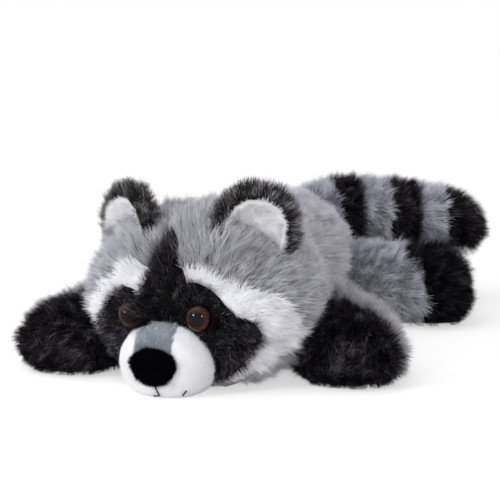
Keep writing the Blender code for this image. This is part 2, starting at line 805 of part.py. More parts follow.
def strip_prism(name, corners, grow):
    """A leaning box over four corners of the front view, through the whole muzzle."""
    across = [corner[0] for corner in corners]
    heights = [corner[1] for corner in corners]
    size = (max(across) - min(across) + 2 * grow, 2 * MUZZLE_REACH, max(heights) - min(heights) + 2 * grow)
    middle = (0, -MUZZLE_REACH, (max(heights) + min(heights)) / 2)
    box = bmesh.new()
    bmesh.ops.create_cube(box, size=1)
    bmesh.ops.transform(box, matrix=Matrix.Translation(middle) @ Matrix.Diagonal((*size, 1)), verts=box.verts)
    for vertex in box.verts:
        vertex.co.x += BRIDGE_LEAN * (vertex.co.z - NOSE_LEVEL)
    mesh = bpy.data.meshes.new(name)
    box.to_mesh(mesh)
    box.free()
    return add_object(name, mesh, CUTTERS, parent=head_pivot)


# Eyes


def eye_matrix(side):
    """Where an eye sits on the head's cloth: its +Z points out along the cloth's normal."""
    form = stuffed_mesh("eye_ground", HEAD_RINGS, sides=HEAD_SIDES)
    ground = add_object("eye_ground", form, CUTTERS)
    bpy.context.view_layer.update()
    across, level = rolled(side * EYE_SPACING / 2, EYE_LEVEL)
    start = Vector((across, -1, level))
    found, place, normal, _ = ground.ray_cast(start, Vector((0, 1, 0)))
    drop(ground)
    if not found:
        raise ValueError("the eyes lie outside the head")
    normal = (normal + Vector(EYE_GLANCE)).normalized()
    turn = normal.to_track_quat("Z", "Y").to_matrix().to_4x4()
    return Matrix.Translation(place + normal * EYE_SEAT) @ turn


EYE_SEAT = 0.0006  # the rim's underside, ahead of the cloth's highest point


def eye_profile():
    radius, shank = EYE_DIAMETER / 2, SHANK_DIAMETER / 2
    steps = 4
    profile = [(0, EYE_RIM + EYE_DOME)]
    for step in range(1, steps + 1):
        angle = math.pi / 2 * step / steps
        profile.append((radius * math.sin(angle), EYE_RIM + EYE_DOME * math.cos(angle)))
    return [*profile, (radius, 0), (shank, 0), (shank, -SHANK_LENGTH), (0, -SHANK_LENGTH)]


def washer_span():
    """The heights of the washer's two faces, under the eye's rim."""
    top = -(EYE_SEAT + FUR_CLOTH + GAP + 0.0008)
    return top, top - WASHER_THICKNESS


def washer_profile():
    bore, radius = SHANK_DIAMETER / 2 + GAP, WASHER_DIAMETER / 2
    top, bottom = washer_span()
    return [(bore, top), (radius, top), (radius, bottom), (bore, bottom)]


def seat_profile():
    """The room that an eye, its shank and its washer need in cloth and filling."""
    radius, shank, washer = EYE_DIAMETER / 2 + GAP, SHANK_DIAMETER / 2 + GAP, WASHER_DIAMETER / 2 + GAP
    top, bottom = washer_span()
    return [
        (0, 2 * EYE_DIAMETER),
        (radius, 2 * EYE_DIAMETER),
        (radius, -GAP),
        (shank, -GAP),
        (shank, top + GAP),
        (washer, top + GAP),
        (washer, bottom - GAP),
        (shank, bottom - GAP),
        (shank, -SHANK_LENGTH - GAP),
        (0, -SHANK_LENGTH - GAP),
    ]


def placed(obj, matrix):
    obj.matrix_local = matrix
    return obj


def eye_seat(side):
    seat = add_object(f"eye_seat_{side}", turned_mesh("eye_seat", seat_profile()), CUTTERS, parent=head_pivot)
    return placed(seat, eye_matrix(side))


def make_eyes():
    for name, side in (("left", 1), ("right", -1)):
        matrix = eye_matrix(side)
        eye = turned_mesh(f"eye_{name}", eye_profile())
        placed(add_object(f"eye_{name}", eye, TOY, EYE_PLASTIC, head_pivot), matrix)
        washer = turned_mesh(f"eye_washer_{name}", washer_profile(), closed=True)
        placed(add_object(f"eye_washer_{name}", washer, TOY, WASHER_PLASTIC, head_pivot), matrix)


def make_head_stuffing(eye_seats):
    filling = stuffing("head_stuffing", HEAD_RINGS, FUR_CLOTH, HEAD_SIDES, head_pivot, SHOWN)
    inset = VELOUR_CLOTH + GAP
    join_on(filling, cutter_form("muzzle_filling", MUZZLE_RINGS, inset, inset, HEAD_SIDES, head_pivot))
    cut_away(filling, *eye_seats)


# Ears


def make_ears():
    """Fur backs with a hollow, and a velour lining sewn into each hollow."""
    square = EAR_SQUARENESS
    for name, side in (("left", 1), ("right", -1)):
        drop_down = EAR_DROP if side < 0 else 0
        across, level = rolled(EAR_OFFSET + side * EAR_SPREAD / 2, EAR_LEVEL - drop_down)
        place = Vector((across, -EAR_FORWARD, level))
        turn = Matrix.Rotation(side * EAR_SPLAY, 4, "Z") @ Matrix.Rotation(side * EAR_TILT, 4, "Y")
        form = ellipsoid(f"ear_form_{name}", (EAR_WIDTH, EAR_THICKNESS, EAR_HEIGHT), place, head_pivot, turn, squareness=square)
        back = piece_of(f"ear_back_{name}", form, BLACK_FUR, head_pivot)
        lining = piece_of(f"ear_lining_{name}", form, WHITE_VELOUR, head_pivot)
        drop(form)
        ahead = turn @ Vector((0, -EAR_THICKNESS / 2, -EAR_HEM / 2))
        opening = (EAR_WIDTH - 2 * EAR_HEM, 2 * EAR_HOLLOW, EAR_HEIGHT - EAR_HEM)
        room = ellipsoid(f"ear_room_{name}", opening, place + ahead, head_pivot, turn, squareness=square)
        inner = [size - 2 * GAP for size in opening]
        filled = ellipsoid(f"ear_dish_{name}", inner, place + ahead, head_pivot, turn, squareness=square)
        hollow = [size - 2 * (GAP + LINING_CLOTH) for size in opening]
        air = ellipsoid(f"ear_air_{name}", hollow, place + ahead, head_pivot, turn, squareness=square)
        cut_away(back, room, head_clear)
        keep_inside(lining, filled)
        cut_away(lining, air, head_clear)


def bodies_of(mesh):
    """The separate bodies of a bmesh, each as a set of faces joined edge to edge in pairs."""
    left = set(mesh.faces)
    bodies = []
    while left:
        reached = {left.pop()}
        waiting = list(reached)
        while waiting:
            face = waiting.pop()
            for edge in face.edges:
                if len(edge.link_faces) != 2:
                    continue
                for neighbour in edge.link_faces:
                    if neighbour in left:
                        left.discard(neighbour)
                        reached.add(neighbour)
                        waiting.append(neighbour)
        bodies.append(reached)
    return bodies


def spread_of(body):
    """The area of a body's faces."""
    return sum(face.calc_area() for face in body)


def clear_crumbs():
    """Leaves one body in each piece: a cut along two nearly level faces can leave thin flakes."""
    for obj in [piece for piece in TOY.objects if piece.type == "MESH"]:
        mesh = evaluated_mesh(obj)
        solid = bmesh.new()
        solid.from_mesh(mesh)
        bmesh.ops.remove_doubles(solid, verts=solid.verts, dist=CRUMB)
        bmesh.ops.triangulate(solid, faces=solid.faces)
        bodies = sorted(bodies_of(solid), key=spread_of)
        flakes = [face for body in bodies[:-1] for face in body]
        bmesh.ops.delete(solid, geom=flakes, context="FACES")
        solid.to_mesh(mesh)
        solid.free()
        obj.modifiers.clear()
        obj.data = mesh


make_torso()
make_limbs()
make_tail()
EYE_SEATS = make_face()
make_head_stuffing(EYE_SEATS)
make_muzzle(EYE_SEATS)
make_eyes()
make_ears()
clear_crumbs()
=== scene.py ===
"""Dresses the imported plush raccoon: long pile, velour, moulded eyes and stitching."""

import logging
import math
from collections.abc import Callable
from dataclasses import dataclass, field, replace
from enum import Enum

import bmesh
import bpy
import numpy as np
from mathutils import Matrix, Vector
from mathutils.bvhtree import BVHTree
from mathutils.kdtree import KDTree


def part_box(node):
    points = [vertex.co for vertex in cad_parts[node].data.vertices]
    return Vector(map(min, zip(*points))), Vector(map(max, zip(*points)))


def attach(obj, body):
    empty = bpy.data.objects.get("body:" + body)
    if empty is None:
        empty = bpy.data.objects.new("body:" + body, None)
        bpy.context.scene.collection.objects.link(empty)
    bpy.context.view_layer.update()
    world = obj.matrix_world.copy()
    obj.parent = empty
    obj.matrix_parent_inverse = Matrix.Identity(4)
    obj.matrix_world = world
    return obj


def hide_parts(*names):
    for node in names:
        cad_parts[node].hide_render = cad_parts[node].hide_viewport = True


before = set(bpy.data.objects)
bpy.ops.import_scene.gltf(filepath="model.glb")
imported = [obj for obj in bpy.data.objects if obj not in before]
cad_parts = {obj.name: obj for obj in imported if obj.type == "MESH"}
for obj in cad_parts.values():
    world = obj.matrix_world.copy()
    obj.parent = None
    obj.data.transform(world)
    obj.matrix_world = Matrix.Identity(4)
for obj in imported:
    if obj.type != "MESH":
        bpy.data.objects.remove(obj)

LOG = logging.getLogger("plush_raccoon")
Array = np.ndarray
Colour = tuple[float, float, float]
Comb = Callable[[Array], Array]
Trim = Callable[[Array], Array]

BODY = "root"
BAKE_MAP = "OFBake"
CONTACT = 0.0004  # the lowest that cloth and hairs come to the table
TABLE_TRIM = 0.36  # how much of a hair's length is left right above the table
TABLE_REACH = 0.018  # the height over which it grows by one whole length
MERGE_GRID = 1e6  # corners that share a place on this grid are merged
FACE_REACH = 0.0016  # the free air that makes a cloth's face open
ROOT_REACH = 0.0022  # the free air that a hair's root needs
RAY_START = 0.00006  # how far off the cloth a test for free air starts
SMALLEST_FACE = 1e-10
UNDERSIDE = -0.90  # no hairs grow where the cloth looks further down than this
SHORTEST_TRIM = 0.05  # hairs cut shorter than this share of their length are left out
EYE_MAP_SPAN = 2.1  # how many of the eye's radii its map is wide


# Small helpers


def unit(vectors: Array) -> Array:
    """Rows scaled to length one, with no division by zero."""
    return vectors / np.maximum(np.linalg.norm(vectors, axis=-1, keepdims=True), 1e-12)


def select_only(obj: bpy.types.Object) -> None:
    """Makes one object the selected and active one.

    Args:
        obj: The object.
    """
    bpy.ops.object.select_all(action="DESELECT")
    obj.select_set(True)
    bpy.context.view_layer.objects.active = obj


def apply_modifiers(obj: bpy.types.Object) -> None:
    """Applies an object's modifiers in order.

    Args:
        obj: The object.
    """
    select_only(obj)
    for modifier in list(obj.modifiers):
        bpy.ops.object.modifier_apply(modifier=modifier.name)


def new_object(name: str, mesh: bpy.types.Mesh, material: bpy.types.Material) -> bpy.types.Object:
    """Links a mesh as a new object with one material.

    Args:
        name: The piece's name.
        mesh: Its finished mesh.
        material: Its finish.

    Returns:
        The new object.
    """
    obj = bpy.data.objects.new(name, mesh)
    bpy.context.scene.collection.objects.link(obj)
    mesh.materials.clear()
    mesh.materials.append(material)
    return obj


def settle(
    obj: bpy.types.Object, nodes: tuple[str, ...]
) -> None:
    """Ties a finished piece to the body and hides the CAD nodes that it stands for.

    Args:
        obj: The finished piece.
        nodes: The CAD nodes that it replaces.
    """
    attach(obj, BODY)
    if nodes:
        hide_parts(*nodes)
    LOG.info("%s: %d faces", obj.name, len(obj.data.polygons))


def node_mesh(name: str) -> tuple[Array, Array]:
    """A CAD node's corners and triangles, with its loose corners merged.

    Args:
        name: The node.

    Returns:
        Corners as rows of x, y, z and triangles as rows of three corner numbers.
    """
    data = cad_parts[name].data
    data.calc_loop_triangles()
    corners = np.empty(len(data.vertices) * 3, np.float32)
    data.vertices.foreach_get("co", corners)
    faces = np.empty(len(data.loop_triangles) * 3, np.int32)
    data.loop_triangles.foreach_get("vertices", faces)
    corners = corners.reshape(-1, 3).astype(float)
    keys = np.round(corners * MERGE_GRID).astype(np.int64)
    _, first, index = np.unique(keys, axis=0, return_index=True, return_inverse=True)
    return corners[first], index.reshape(-1)[faces].reshape(-1, 3)


def box_middle(node: str) -> Array:
    """The middle of a CAD node's box."""
    return np.array(sum(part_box(node), Vector())) / 2


class Noise:
    """Smooth noise as a sum of waves, the same in every run."""

    def __init__(self, seed: int, scale: float, waves: int = 14) -> None:
        """Draws the waves.

        Args:
            seed: The seed of the waves' directions.
            scale: The usual length of a wave in metres.
            waves: How many waves there are.
        """
        rng = np.random.default_rng(seed)
        self.waves = unit(rng.normal(size=(waves, 3))) * math.tau / scale
        self.waves *= rng.uniform(0.6, 1.7, (waves, 1))
        self.phases = rng.uniform(0, math.tau, waves)

    def __call__(self, points: Array) -> Array:
        """The noise at each point, spread about evenly round zero by one."""
        return np.sin(points @ self.waves.T + self.phases).sum(1) / math.sqrt(len(self.phases) / 2)


class Solids:
    """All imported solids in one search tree, which tells open cloth from hidden cloth."""

    def __init__(self, names: list[str]) -> None:
        """Gathers the solids.

        Args:
            names: The nodes' names.
        """
        corners, faces, count = [], [], 0
        for name in names:
            node_corners, node_faces = node_mesh(name)
            corners.append(node_corners)
            faces.append(node_faces + count)
            count += len(node_corners)
        all_corners, all_faces = np.concatenate(corners), np.concatenate(faces)
        self.tree = BVHTree.FromPolygons(all_corners.tolist(), all_faces.tolist())

    def open_at(self, points: Array, normals: Array, reach: float) -> Array:
        """Which points have free air ahead of them.

        Args:
            points: Points on the solids' surfaces.
            normals: The outward direction at each.
            reach: How far the air has to be free.

        Returns:
            One truth value for each point.
        """
        free = np.empty(len(points), bool)
        starts = points + normals * RAY_START
        for index, (start, normal) in enumerate(zip(starts.tolist(), normals.tolist())):
            free[index] = self.tree.ray_cast(Vector(start), Vector(normal), reach)[0] is None
        return free


# Finishes


class Nodes:
    """A material's node tree, with short calls to add and link nodes."""

    def __init__(self, name: str) -> None:
        """Starts a material with an empty tree but for its output and shader.

        Args:
            name: The material's name.
        """
        self.material = bpy.data.materials.new(name)
        self.material.use_nodes = True
        self.tree = self.material.node_tree
        self.shader = self.tree.nodes["Principled BSDF"]

    def add(self, kind: str, **values: object) -> bpy.types.Node:
        """Adds a node.

        Args:
            kind: The node's type.
            values: Its properties.

        Returns:
            The new node.
        """
        node = self.tree.nodes.new(kind)
        for key, value in values.items():
            setattr(node, key, value)
        return node

    def link(self, start: bpy.types.NodeSocket, end: bpy.types.NodeSocket) -> None:
        """Links two sockets."""
        self.tree.links.new(start, end)

    def maths(
        self, operation: str, *values: bpy.types.NodeSocket | float
    ) -> bpy.types.NodeSocket:
        """A Math node on sockets or numbers.

        Args:
            operation: The node's operation.
            values: A socket or a number for each of its inputs.

        Returns:
            The node's output.
        """
        node = self.add("ShaderNodeMath", operation=operation)
        for socket, value in zip(node.inputs, values):
            if isinstance(value, bpy.types.NodeSocket):
                self.link(value, socket)
            else:
                socket.default_value = value
        return node.outputs[0]

    def ramp(
        self, value: bpy.types.NodeSocket, stops: list[tuple[float, Colour]]
    ) -> bpy.types.NodeSocket:
        """A colour ramp over a value.

        Args:
            value: The socket that the ramp reads.
            stops: Positions and colours.

        Returns:
            The ramp's colour output.
        """
        node = self.add("ShaderNodeValToRGB")
        elements = node.color_ramp.elements
        while len(elements) < len(stops):
            elements.new(0.5)
        for element, (position, colour) in zip(elements, stops):
            element.position = position
            element.color = (*colour, 1)
        self.link(value, node.inputs["Fac"])
        return node.outputs["Color"]

    def map_parts(self) -> tuple[bpy.types.NodeSocket, bpy.types.NodeSocket]:
        """The piece's own map.

        Returns:
            Its coordinate across and its coordinate upward.
        """
        parts = self.add("ShaderNodeSeparateXYZ")
        self.link(self.add("ShaderNodeUVMap", uv_map=BAKE_MAP).outputs["UV"], parts.inputs[0])
        return parts.outputs["X"], parts.outputs["Y"]


@dataclass(frozen=True)
class PileFinish:
    """Dyed hairs: their colour runs from root to tip, and some hairs are lighter.

    The piece's map holds a hair's brightness across and its length upward. A power over one
    on that brightness keeps nearly all hairs dark and paints a few much lighter, up to a high
    gain: painted glints that stand in for the highlights of glossy black hair.
    """

    slot: str
    root: Colour
    middle: Colour
    tip: Colour
    streak: float = 0.35
    roughness: float = 0.7
    specular: float = 0.3
    place: str = "pile"
    # painted glints: over one, a few of the brightest hairs are painted much lighter as highlights
    painted_glint_rarity: float = 1.0
    painted_glint_gain: float = 16.0
    belly: float = 0.45

    def material(self) -> bpy.types.Material:
        """The finish as a material, made once.

        Returns:
            The material.
        """
        name = f"{self.slot}_{self.place}"
        found = bpy.data.materials.get(name)
        if found:
            return found
        nodes = Nodes(name)
        across, along = nodes.map_parts()
        colour = nodes.ramp(along, [(0.0, self.root), (self.belly, self.middle), (1.0, self.tip)])
        # painted glints: a power and a high gain paint a few hairs light, as highlights of glossy hair
        share = nodes.maths("POWER", across, self.painted_glint_rarity)
        streak_and_glint_gain = self.painted_glint_gain if self.painted_glint_rarity > 1 else 2 * self.streak
        light = nodes.maths("MULTIPLY_ADD", share, streak_and_glint_gain, 1 - self.streak)
        shade = nodes.add("ShaderNodeHueSaturation")
        nodes.link(colour, shade.inputs["Color"])
        nodes.link(light, shade.inputs["Value"])
        nodes.link(shade.outputs["Color"], nodes.shader.inputs["Base Color"])
        nodes.shader.inputs["Roughness"].default_value = self.roughness
        nodes.shader.inputs["Specular IOR Level"].default_value = self.specular
        return nodes.material


GREY_PILE = PileFinish("grey_fur", (0.19, 0.19, 0.21), (0.38, 0.38, 0.42), (0.62, 0.62, 0.67))
LIMB_GREY = PileFinish(
    "grey_fur", (0.23, 0.235, 0.27), (0.44, 0.45, 0.51), (0.68, 0.69, 0.77), place="limbs"
)
# a lighter copy of the grey fur for the thighs: painted light that makes up for the shade on them
THIGH_GREY_PAINTED_LIGHT = PileFinish(
    "grey_fur", (0.26, 0.265, 0.30), (0.50, 0.51, 0.57), (0.75, 0.76, 0.84), place="thighs_painted_light"
)
PALE_PILE = PileFinish("pale_grey_fur", (0.24, 0.23, 0.25), (0.45, 0.44, 0.48), (0.66, 0.65, 0.71))
WHITE_PILE = PileFinish(
    "white_fur", (0.92, 0.92, 0.95), (0.93, 0.93, 0.97), (0.94, 0.94, 0.98), streak=0.03
)
BLACK_PILE = PileFinish(
    "black_fur",
    (0.001, 0.001, 0.002),
    (0.005, 0.004, 0.006),
    (0.038, 0.034, 0.041),
    # streak and rarity paint a few hairs light: painted glints, the highlights of glossy black hair
    streak=0.6,
    specular=0.08,
    painted_glint_rarity=6.0,
)
MASK_BLACK = replace(
    BLACK_PILE,
    root=(0.0015, 0.0015, 0.002),
    middle=(0.007, 0.006, 0.008),
    tip=(0.052, 0.047, 0.055),
    specular=0.10,
    place="mask",
)
# darker black for the feet: painted shade, standing in for the shadow that the feet sit in
LEG_BLACK_PAINTED_SHADE = replace(
    BLACK_PILE,
    root=(0.0006, 0.0006, 0.001),
    middle=(0.002, 0.002, 0.003),
    tip=(0.015, 0.013, 0.017),
    roughness=0.8,
    specular=0.04,
    place="feet_painted_shade",
)
TAIL_BLACK = replace(
    BLACK_PILE,
    root=(0.0008, 0.0008, 0.001),
    middle=(0.003, 0.0025, 0.004),
    tip=(0.022, 0.019, 0.024),
    roughness=0.8,
    specular=0.05,
    place="tail",
)
# lighter black for the ear backs: painted light, standing in for light that shines through the thin
# hair
EAR_BLACK_PAINTED_BACKLIGHT = replace(
    BLACK_PILE,
    root=(0.002, 0.002, 0.002),
    middle=(0.014, 0.013, 0.014),
    tip=(0.10, 0.092, 0.098),
    specular=0.15,
    place="ears",
)
WHITE_NAP = PileFinish(
    "white_velour", (0.80, 0.80, 0.83), (0.86, 0.86, 0.88), (0.89, 0.89, 0.91), streak=0.04
)
GREY_NAP = PileFinish(
    "grey_velour", (0.17, 0.19, 0.22), (0.27, 0.295, 0.34), (0.40, 0.435, 0.49), streak=0.45
)
BLACK_NAP = PileFinish(
    "black_velour",
    (0.0005, 0.0005, 0.001),
    (0.001, 0.001, 0.002),
    (0.002, 0.002, 0.004),
    streak=0.5,
    roughness=1.0,
    specular=0.03,
)


@dataclass(frozen=True)
class EyeFinish:
    """A moulded eye: black pupil, brown iris and a dark edge, under a clear polish."""

    pupil: float = 0.59
    edge: float = 0.91
    brown: Colour = (0.016, 0.004, 0.0015)
    amber: Colour = (0.054, 0.012, 0.003)
    black: Colour = (0.003, 0.002, 0.002)
    rim: Colour = (0.003, 0.0015, 0.0015)
    grain: float = 22.0
    wander: float = 0.05
    coat_ior: float = 1.25
    coat_roughness: float = 0.02

    def material(self) -> bpy.types.Material:
        """The finish as a material, made once.

        Returns:
            The material.
        """
        found = bpy.data.materials.get("eye_polish")
        if found:
            return found
        nodes = Nodes("eye_polish")
        middle = nodes.add("ShaderNodeVectorMath", operation="SUBTRACT")
        nodes.link(nodes.add("ShaderNodeUVMap", uv_map=BAKE_MAP).outputs["UV"], middle.inputs[0])
        middle.inputs[1].default_value = (0.5, 0.5, 0)
        reach = nodes.add("ShaderNodeVectorMath", operation="LENGTH")
        nodes.link(middle.outputs[0], reach.inputs[0])
        grain = nodes.add("ShaderNodeTexNoise")
        grain.inputs["Scale"].default_value = self.grain
        nodes.link(middle.outputs[0], grain.inputs["Vector"])
        wander = nodes.maths("MULTIPLY", grain.outputs["Fac"], self.wander)
        radii = nodes.maths("MULTIPLY", reach.outputs["Value"], EYE_MAP_SPAN)
        share = nodes.maths("ADD", radii, wander)
        stops = [
            (self.pupil - 0.03, self.black),
            (self.pupil + 0.05, self.brown),
            (self.edge - 0.12, self.amber),
            (self.edge, self.brown),
            (1.0, self.rim),
        ]
        nodes.link(nodes.ramp(share, stops), nodes.shader.inputs["Base Color"])
        nodes.shader.inputs["Specular IOR Level"].default_value = 0.0
        nodes.shader.inputs["Coat Weight"].default_value = 1.0
        nodes.shader.inputs["Coat Roughness"].default_value = self.coat_roughness
        nodes.shader.inputs["Coat IOR"].default_value = self.coat_ior
        return nodes.material


@dataclass(frozen=True)
class PlainFinish:
    """Thread, washers and filling: one colour with a fine mottle and bump."""

    name: str
    dark: Colour
    light: Colour
    roughness: float
    grain: float
    bump: float

    def material(self) -> bpy.types.Material:
        """The finish as a material, made once.

        Returns:
            The material.
        """
        found = bpy.data.materials.get(self.name)
        if found:
            return found
        nodes = Nodes(self.name)
        place = nodes.add("ShaderNodeTexCoord")
        noise = nodes.add("ShaderNodeTexNoise")
        noise.inputs["Scale"].default_value = self.grain
        noise.inputs["Detail"].default_value = 4
        nodes.link(place.outputs["Object"], noise.inputs["Vector"])
        stops = [(0.35, self.dark), (0.65, self.light)]
        nodes.link(nodes.ramp(noise.outputs["Fac"], stops), nodes.shader.inputs["Base Color"])
        bump = nodes.add("ShaderNodeBump")
        bump.inputs["Strength"].default_value = self.bump
        bump.inputs["Distance"].default_value = 0.0005
        nodes.link(noise.outputs["Fac"], bump.inputs["Height"])
        nodes.link(bump.outputs["Normal"], nodes.shader.inputs["Normal"])
        nodes.shader.inputs["Roughness"].default_value = self.roughness
        return nodes.material


THREAD = PlainFinish("black_thread", (0.004, 0.004, 0.004), (0.015, 0.015, 0.016), 0.7, 3000, 0.6)
WASHER = PlainFinish("washer_plastic", (0.68, 0.68, 0.66), (0.78, 0.78, 0.76), 0.45, 700, 0.1)
FILLING = PlainFinish("fibre_filling", (0.72, 0.72, 0.70), (0.88, 0.88, 0.86), 1.0, 500, 0.8)


# Pile


@dataclass(frozen=True)
class Pile:
    """How a cloth's hairs stand: lengths in metres, angles in radians."""

    length: float = 0.0096
    density: float = 2.15e6
    width: float = 0.00027
    depth: float = 0.0020
    lean: float = 0.52
    stray: float = 0.35
    tuft: int = 4
    gather: float = 0.18
    droop: float = 0.06
    bent: bool = True
    twist: float = 0.8


LONG_PILE = Pile()
SOFT_PILE = Pile(length=0.0086, lean=0.72, gather=0.08)
TAIL_PILE = Pile(length=0.0092, lean=0.38, gather=0.12)
LIMB_PILE = Pile(gather=0.12)
EAR_PILE = Pile(length=0.0075, width=0.00026, lean=0.60)
NAP = Pile(0.0017, 5.0e6, 0.00019, 0.0002, 0.55, 0.7, 5, 0.15, 0.0, bent=False)
LINING_NAP = Pile(0.0036, 4.0e6, 0.00022, 0.0004, 0.80, 0.6, 5, 0.20, 0.0, bent=False)
NOSE_NAP = Pile(0.0023, 5.0e6, 0.00022, 0.0003, 0.75, 0.9, 9, 0.30, 0.0, bent=False)
BRIDGE_NAP = Pile(0.0028, 5.0e6, 0.00026, 0.0003, 1.10, 0.22, 5, 0.20, 0.0, bent=False)


@dataclass(frozen=True)
class Ripple:
    """A slow change over a cloth, as smooth noise."""

    seed: int
    scale: float
    size: float

    def over(self, places: Array, seed: int) -> Array:
        """The change at each place, for a fur of that seed."""
        return Noise(seed + self.seed, self.scale)(places) * self.size


@dataclass(frozen=True)
class Growth:
    """How single hairs differ from their pile, the same on every cloth."""

    turn_ripples: tuple[Ripple, Ripple] = (Ripple(1, 0.018, 0.30), Ripple(2, 0.007, 0.26))
    length_ripple: Ripple = Ripple(3, 0.012, 0.12)
    lean_ripple: Ripple = Ripple(4, 0.011, 0.22)
    light_ripple: Ripple = Ripple(5, 0.010, 0.13)
    length_spread: float = 0.16
    length_limits: tuple[float, float] = (0.5, 1.4)
    lean_spread: float = 0.14
    lean_limits: tuple[float, float] = (0.15, 1.35)
    # a hair stands steeper below its knee than above it
    low_lean: float = 0.62
    high_lean: float = 1.32
    high_limit: float = 1.62
    knee: float = 0.52
    knee_width: float = 0.8
    knee_pull: float = 0.38
    tuft_pulls: tuple[float, float] = (0.3, 1.5)
    hair_pulls: tuple[float, float] = (0.6, 1.3)
    pull_limit: float = 0.85
    widths: tuple[float, float] = (0.7, 1.25)
    light_spread: float = 0.20
    map_start: float = 0.30
    map_span: float = 0.66
    map_shift: float = 0.004


GROWTH = Growth()


class MeshDraft:
    """Collects corners, faces and map places, and writes them as one mesh."""

    def __init__(self) -> None:
        """Starts empty."""
        self.corners: list[Array] = []
        self.faces: list[Array] = []
        self.places: list[Array] = []
        self.count = 0

    def add_corners(self, corners: Array) -> int:
        """Adds corners.

        Args:
            corners: Rows of x, y and z.

        Returns:
            The number of the first.
        """
        first = self.count
        self.corners.append(corners)
        self.count += len(corners)
        return first

    def add_faces(self, faces: Array, places: Array) -> None:
        """Adds faces of one size, with a map place for each of their corners."""
        self.faces.append(faces)
        self.places.append(places)

    def mesh(self, name: str) -> bpy.types.Mesh:
        """The mesh of everything collected.

        Args:
            name: The mesh's name.

        Returns:
            The mesh, shaded smooth and with its map.
        """
        corners = np.concatenate(self.corners)
        loops = np.concatenate([faces.ravel() for faces in self.faces])
        sizes = np.concatenate([np.full(len(faces), faces.shape[1]) for faces in self.faces])
        places = np.concatenate([places.reshape(-1, 2) for places in self.places])
        mesh = bpy.data.meshes.new(name)
        mesh.vertices.add(len(corners))
        mesh.vertices.foreach_set("co", corners.astype(np.float32).ravel())
        mesh.loops.add(len(loops))
        mesh.loops.foreach_set("vertex_index", loops.astype(np.int32))
        mesh.polygons.add(len(sizes))
        mesh.polygons.foreach_set("loop_start", (np.cumsum(sizes) - sizes).astype(np.int32))
        mesh.update(calc_edges=True)
        mesh.uv_layers.new(name=BAKE_MAP).data.foreach_set("uv", places.astype(np.float32).ravel())
        mesh.shade_smooth()
        return mesh


class Cloth:
    """Cloth that hairs grow from: its faces, smooth normals, and which faces are open."""

    def __init__(self, corners: Array, faces: Array, solids: Solids | None) -> None:
        """Measures the cloth.

        Args:
            corners: Its corners.
            faces: Its triangles.
            solids: The solids that may cover it, or None if all of it is open.
        """
        self.corners, self.faces = corners, faces
        first, second, third = (corners[faces[:, k]] for k in range(3))
        cross = np.cross(second - first, third - first)
        self.areas = np.linalg.norm(cross, axis=1) / 2
        flat = unit(cross)
        middles = (first + second + third) / 3
        self.open = np.ones(len(faces), bool)
        if solids is not None:
            self.open = solids.open_at(middles, flat, FACE_REACH)
        self.open &= self.areas > SMALLEST_FACE
        self.normals = np.zeros_like(corners)
        for k in range(3):
            np.add.at(self.normals, faces[self.open, k], cross[self.open])
        met = np.linalg.norm(self.normals, axis=1) > 0
        self.normals = unit(self.normals) * met[:, None]
        self.solids = solids

    def sunk(self, depth: float) -> Array:
        """The corners with the open side set in, clear of the table.

        Args:
            depth: How far it is set in.

        Returns:
            The moved corners.
        """
        corners = self.corners - self.normals * depth
        corners[:, 2] = np.maximum(corners[:, 2], CONTACT)
        return corners

    def roots(self, density: float, rng: np.random.Generator) -> tuple[Array, Array]:
        """Evenly spread places on the open faces.

        Args:
            density: Hairs for each square metre.
            rng: The source of chance.

        Returns:
            Places on the cloth's surface and the smooth normal at each.
        """
        weights = np.where(self.open, self.areas, 0.0)
        total = weights.sum()
        count = int(total * density)
        picks = (np.arange(count) + rng.random(count)) / count * total
        chosen = np.minimum(np.searchsorted(np.cumsum(weights), picks), len(weights) - 1)
        first, second = rng.random(count), rng.random(count)
        over = first + second > 1
        first[over], second[over] = 1 - first[over], 1 - second[over]
        shares = np.stack([1 - first - second, first, second], 1)[:, :, None]
        corners = self.faces[chosen]
        places = (self.corners[corners] * shares).sum(1)
        normals = unit((self.normals[corners] * shares).sum(1))
        kept = normals[:, 2] > UNDERSIDE
        if self.solids is not None:
            kept[kept] = self.solids.open_at(places[kept], normals[kept], ROOT_REACH)
        return places[kept], normals[kept]


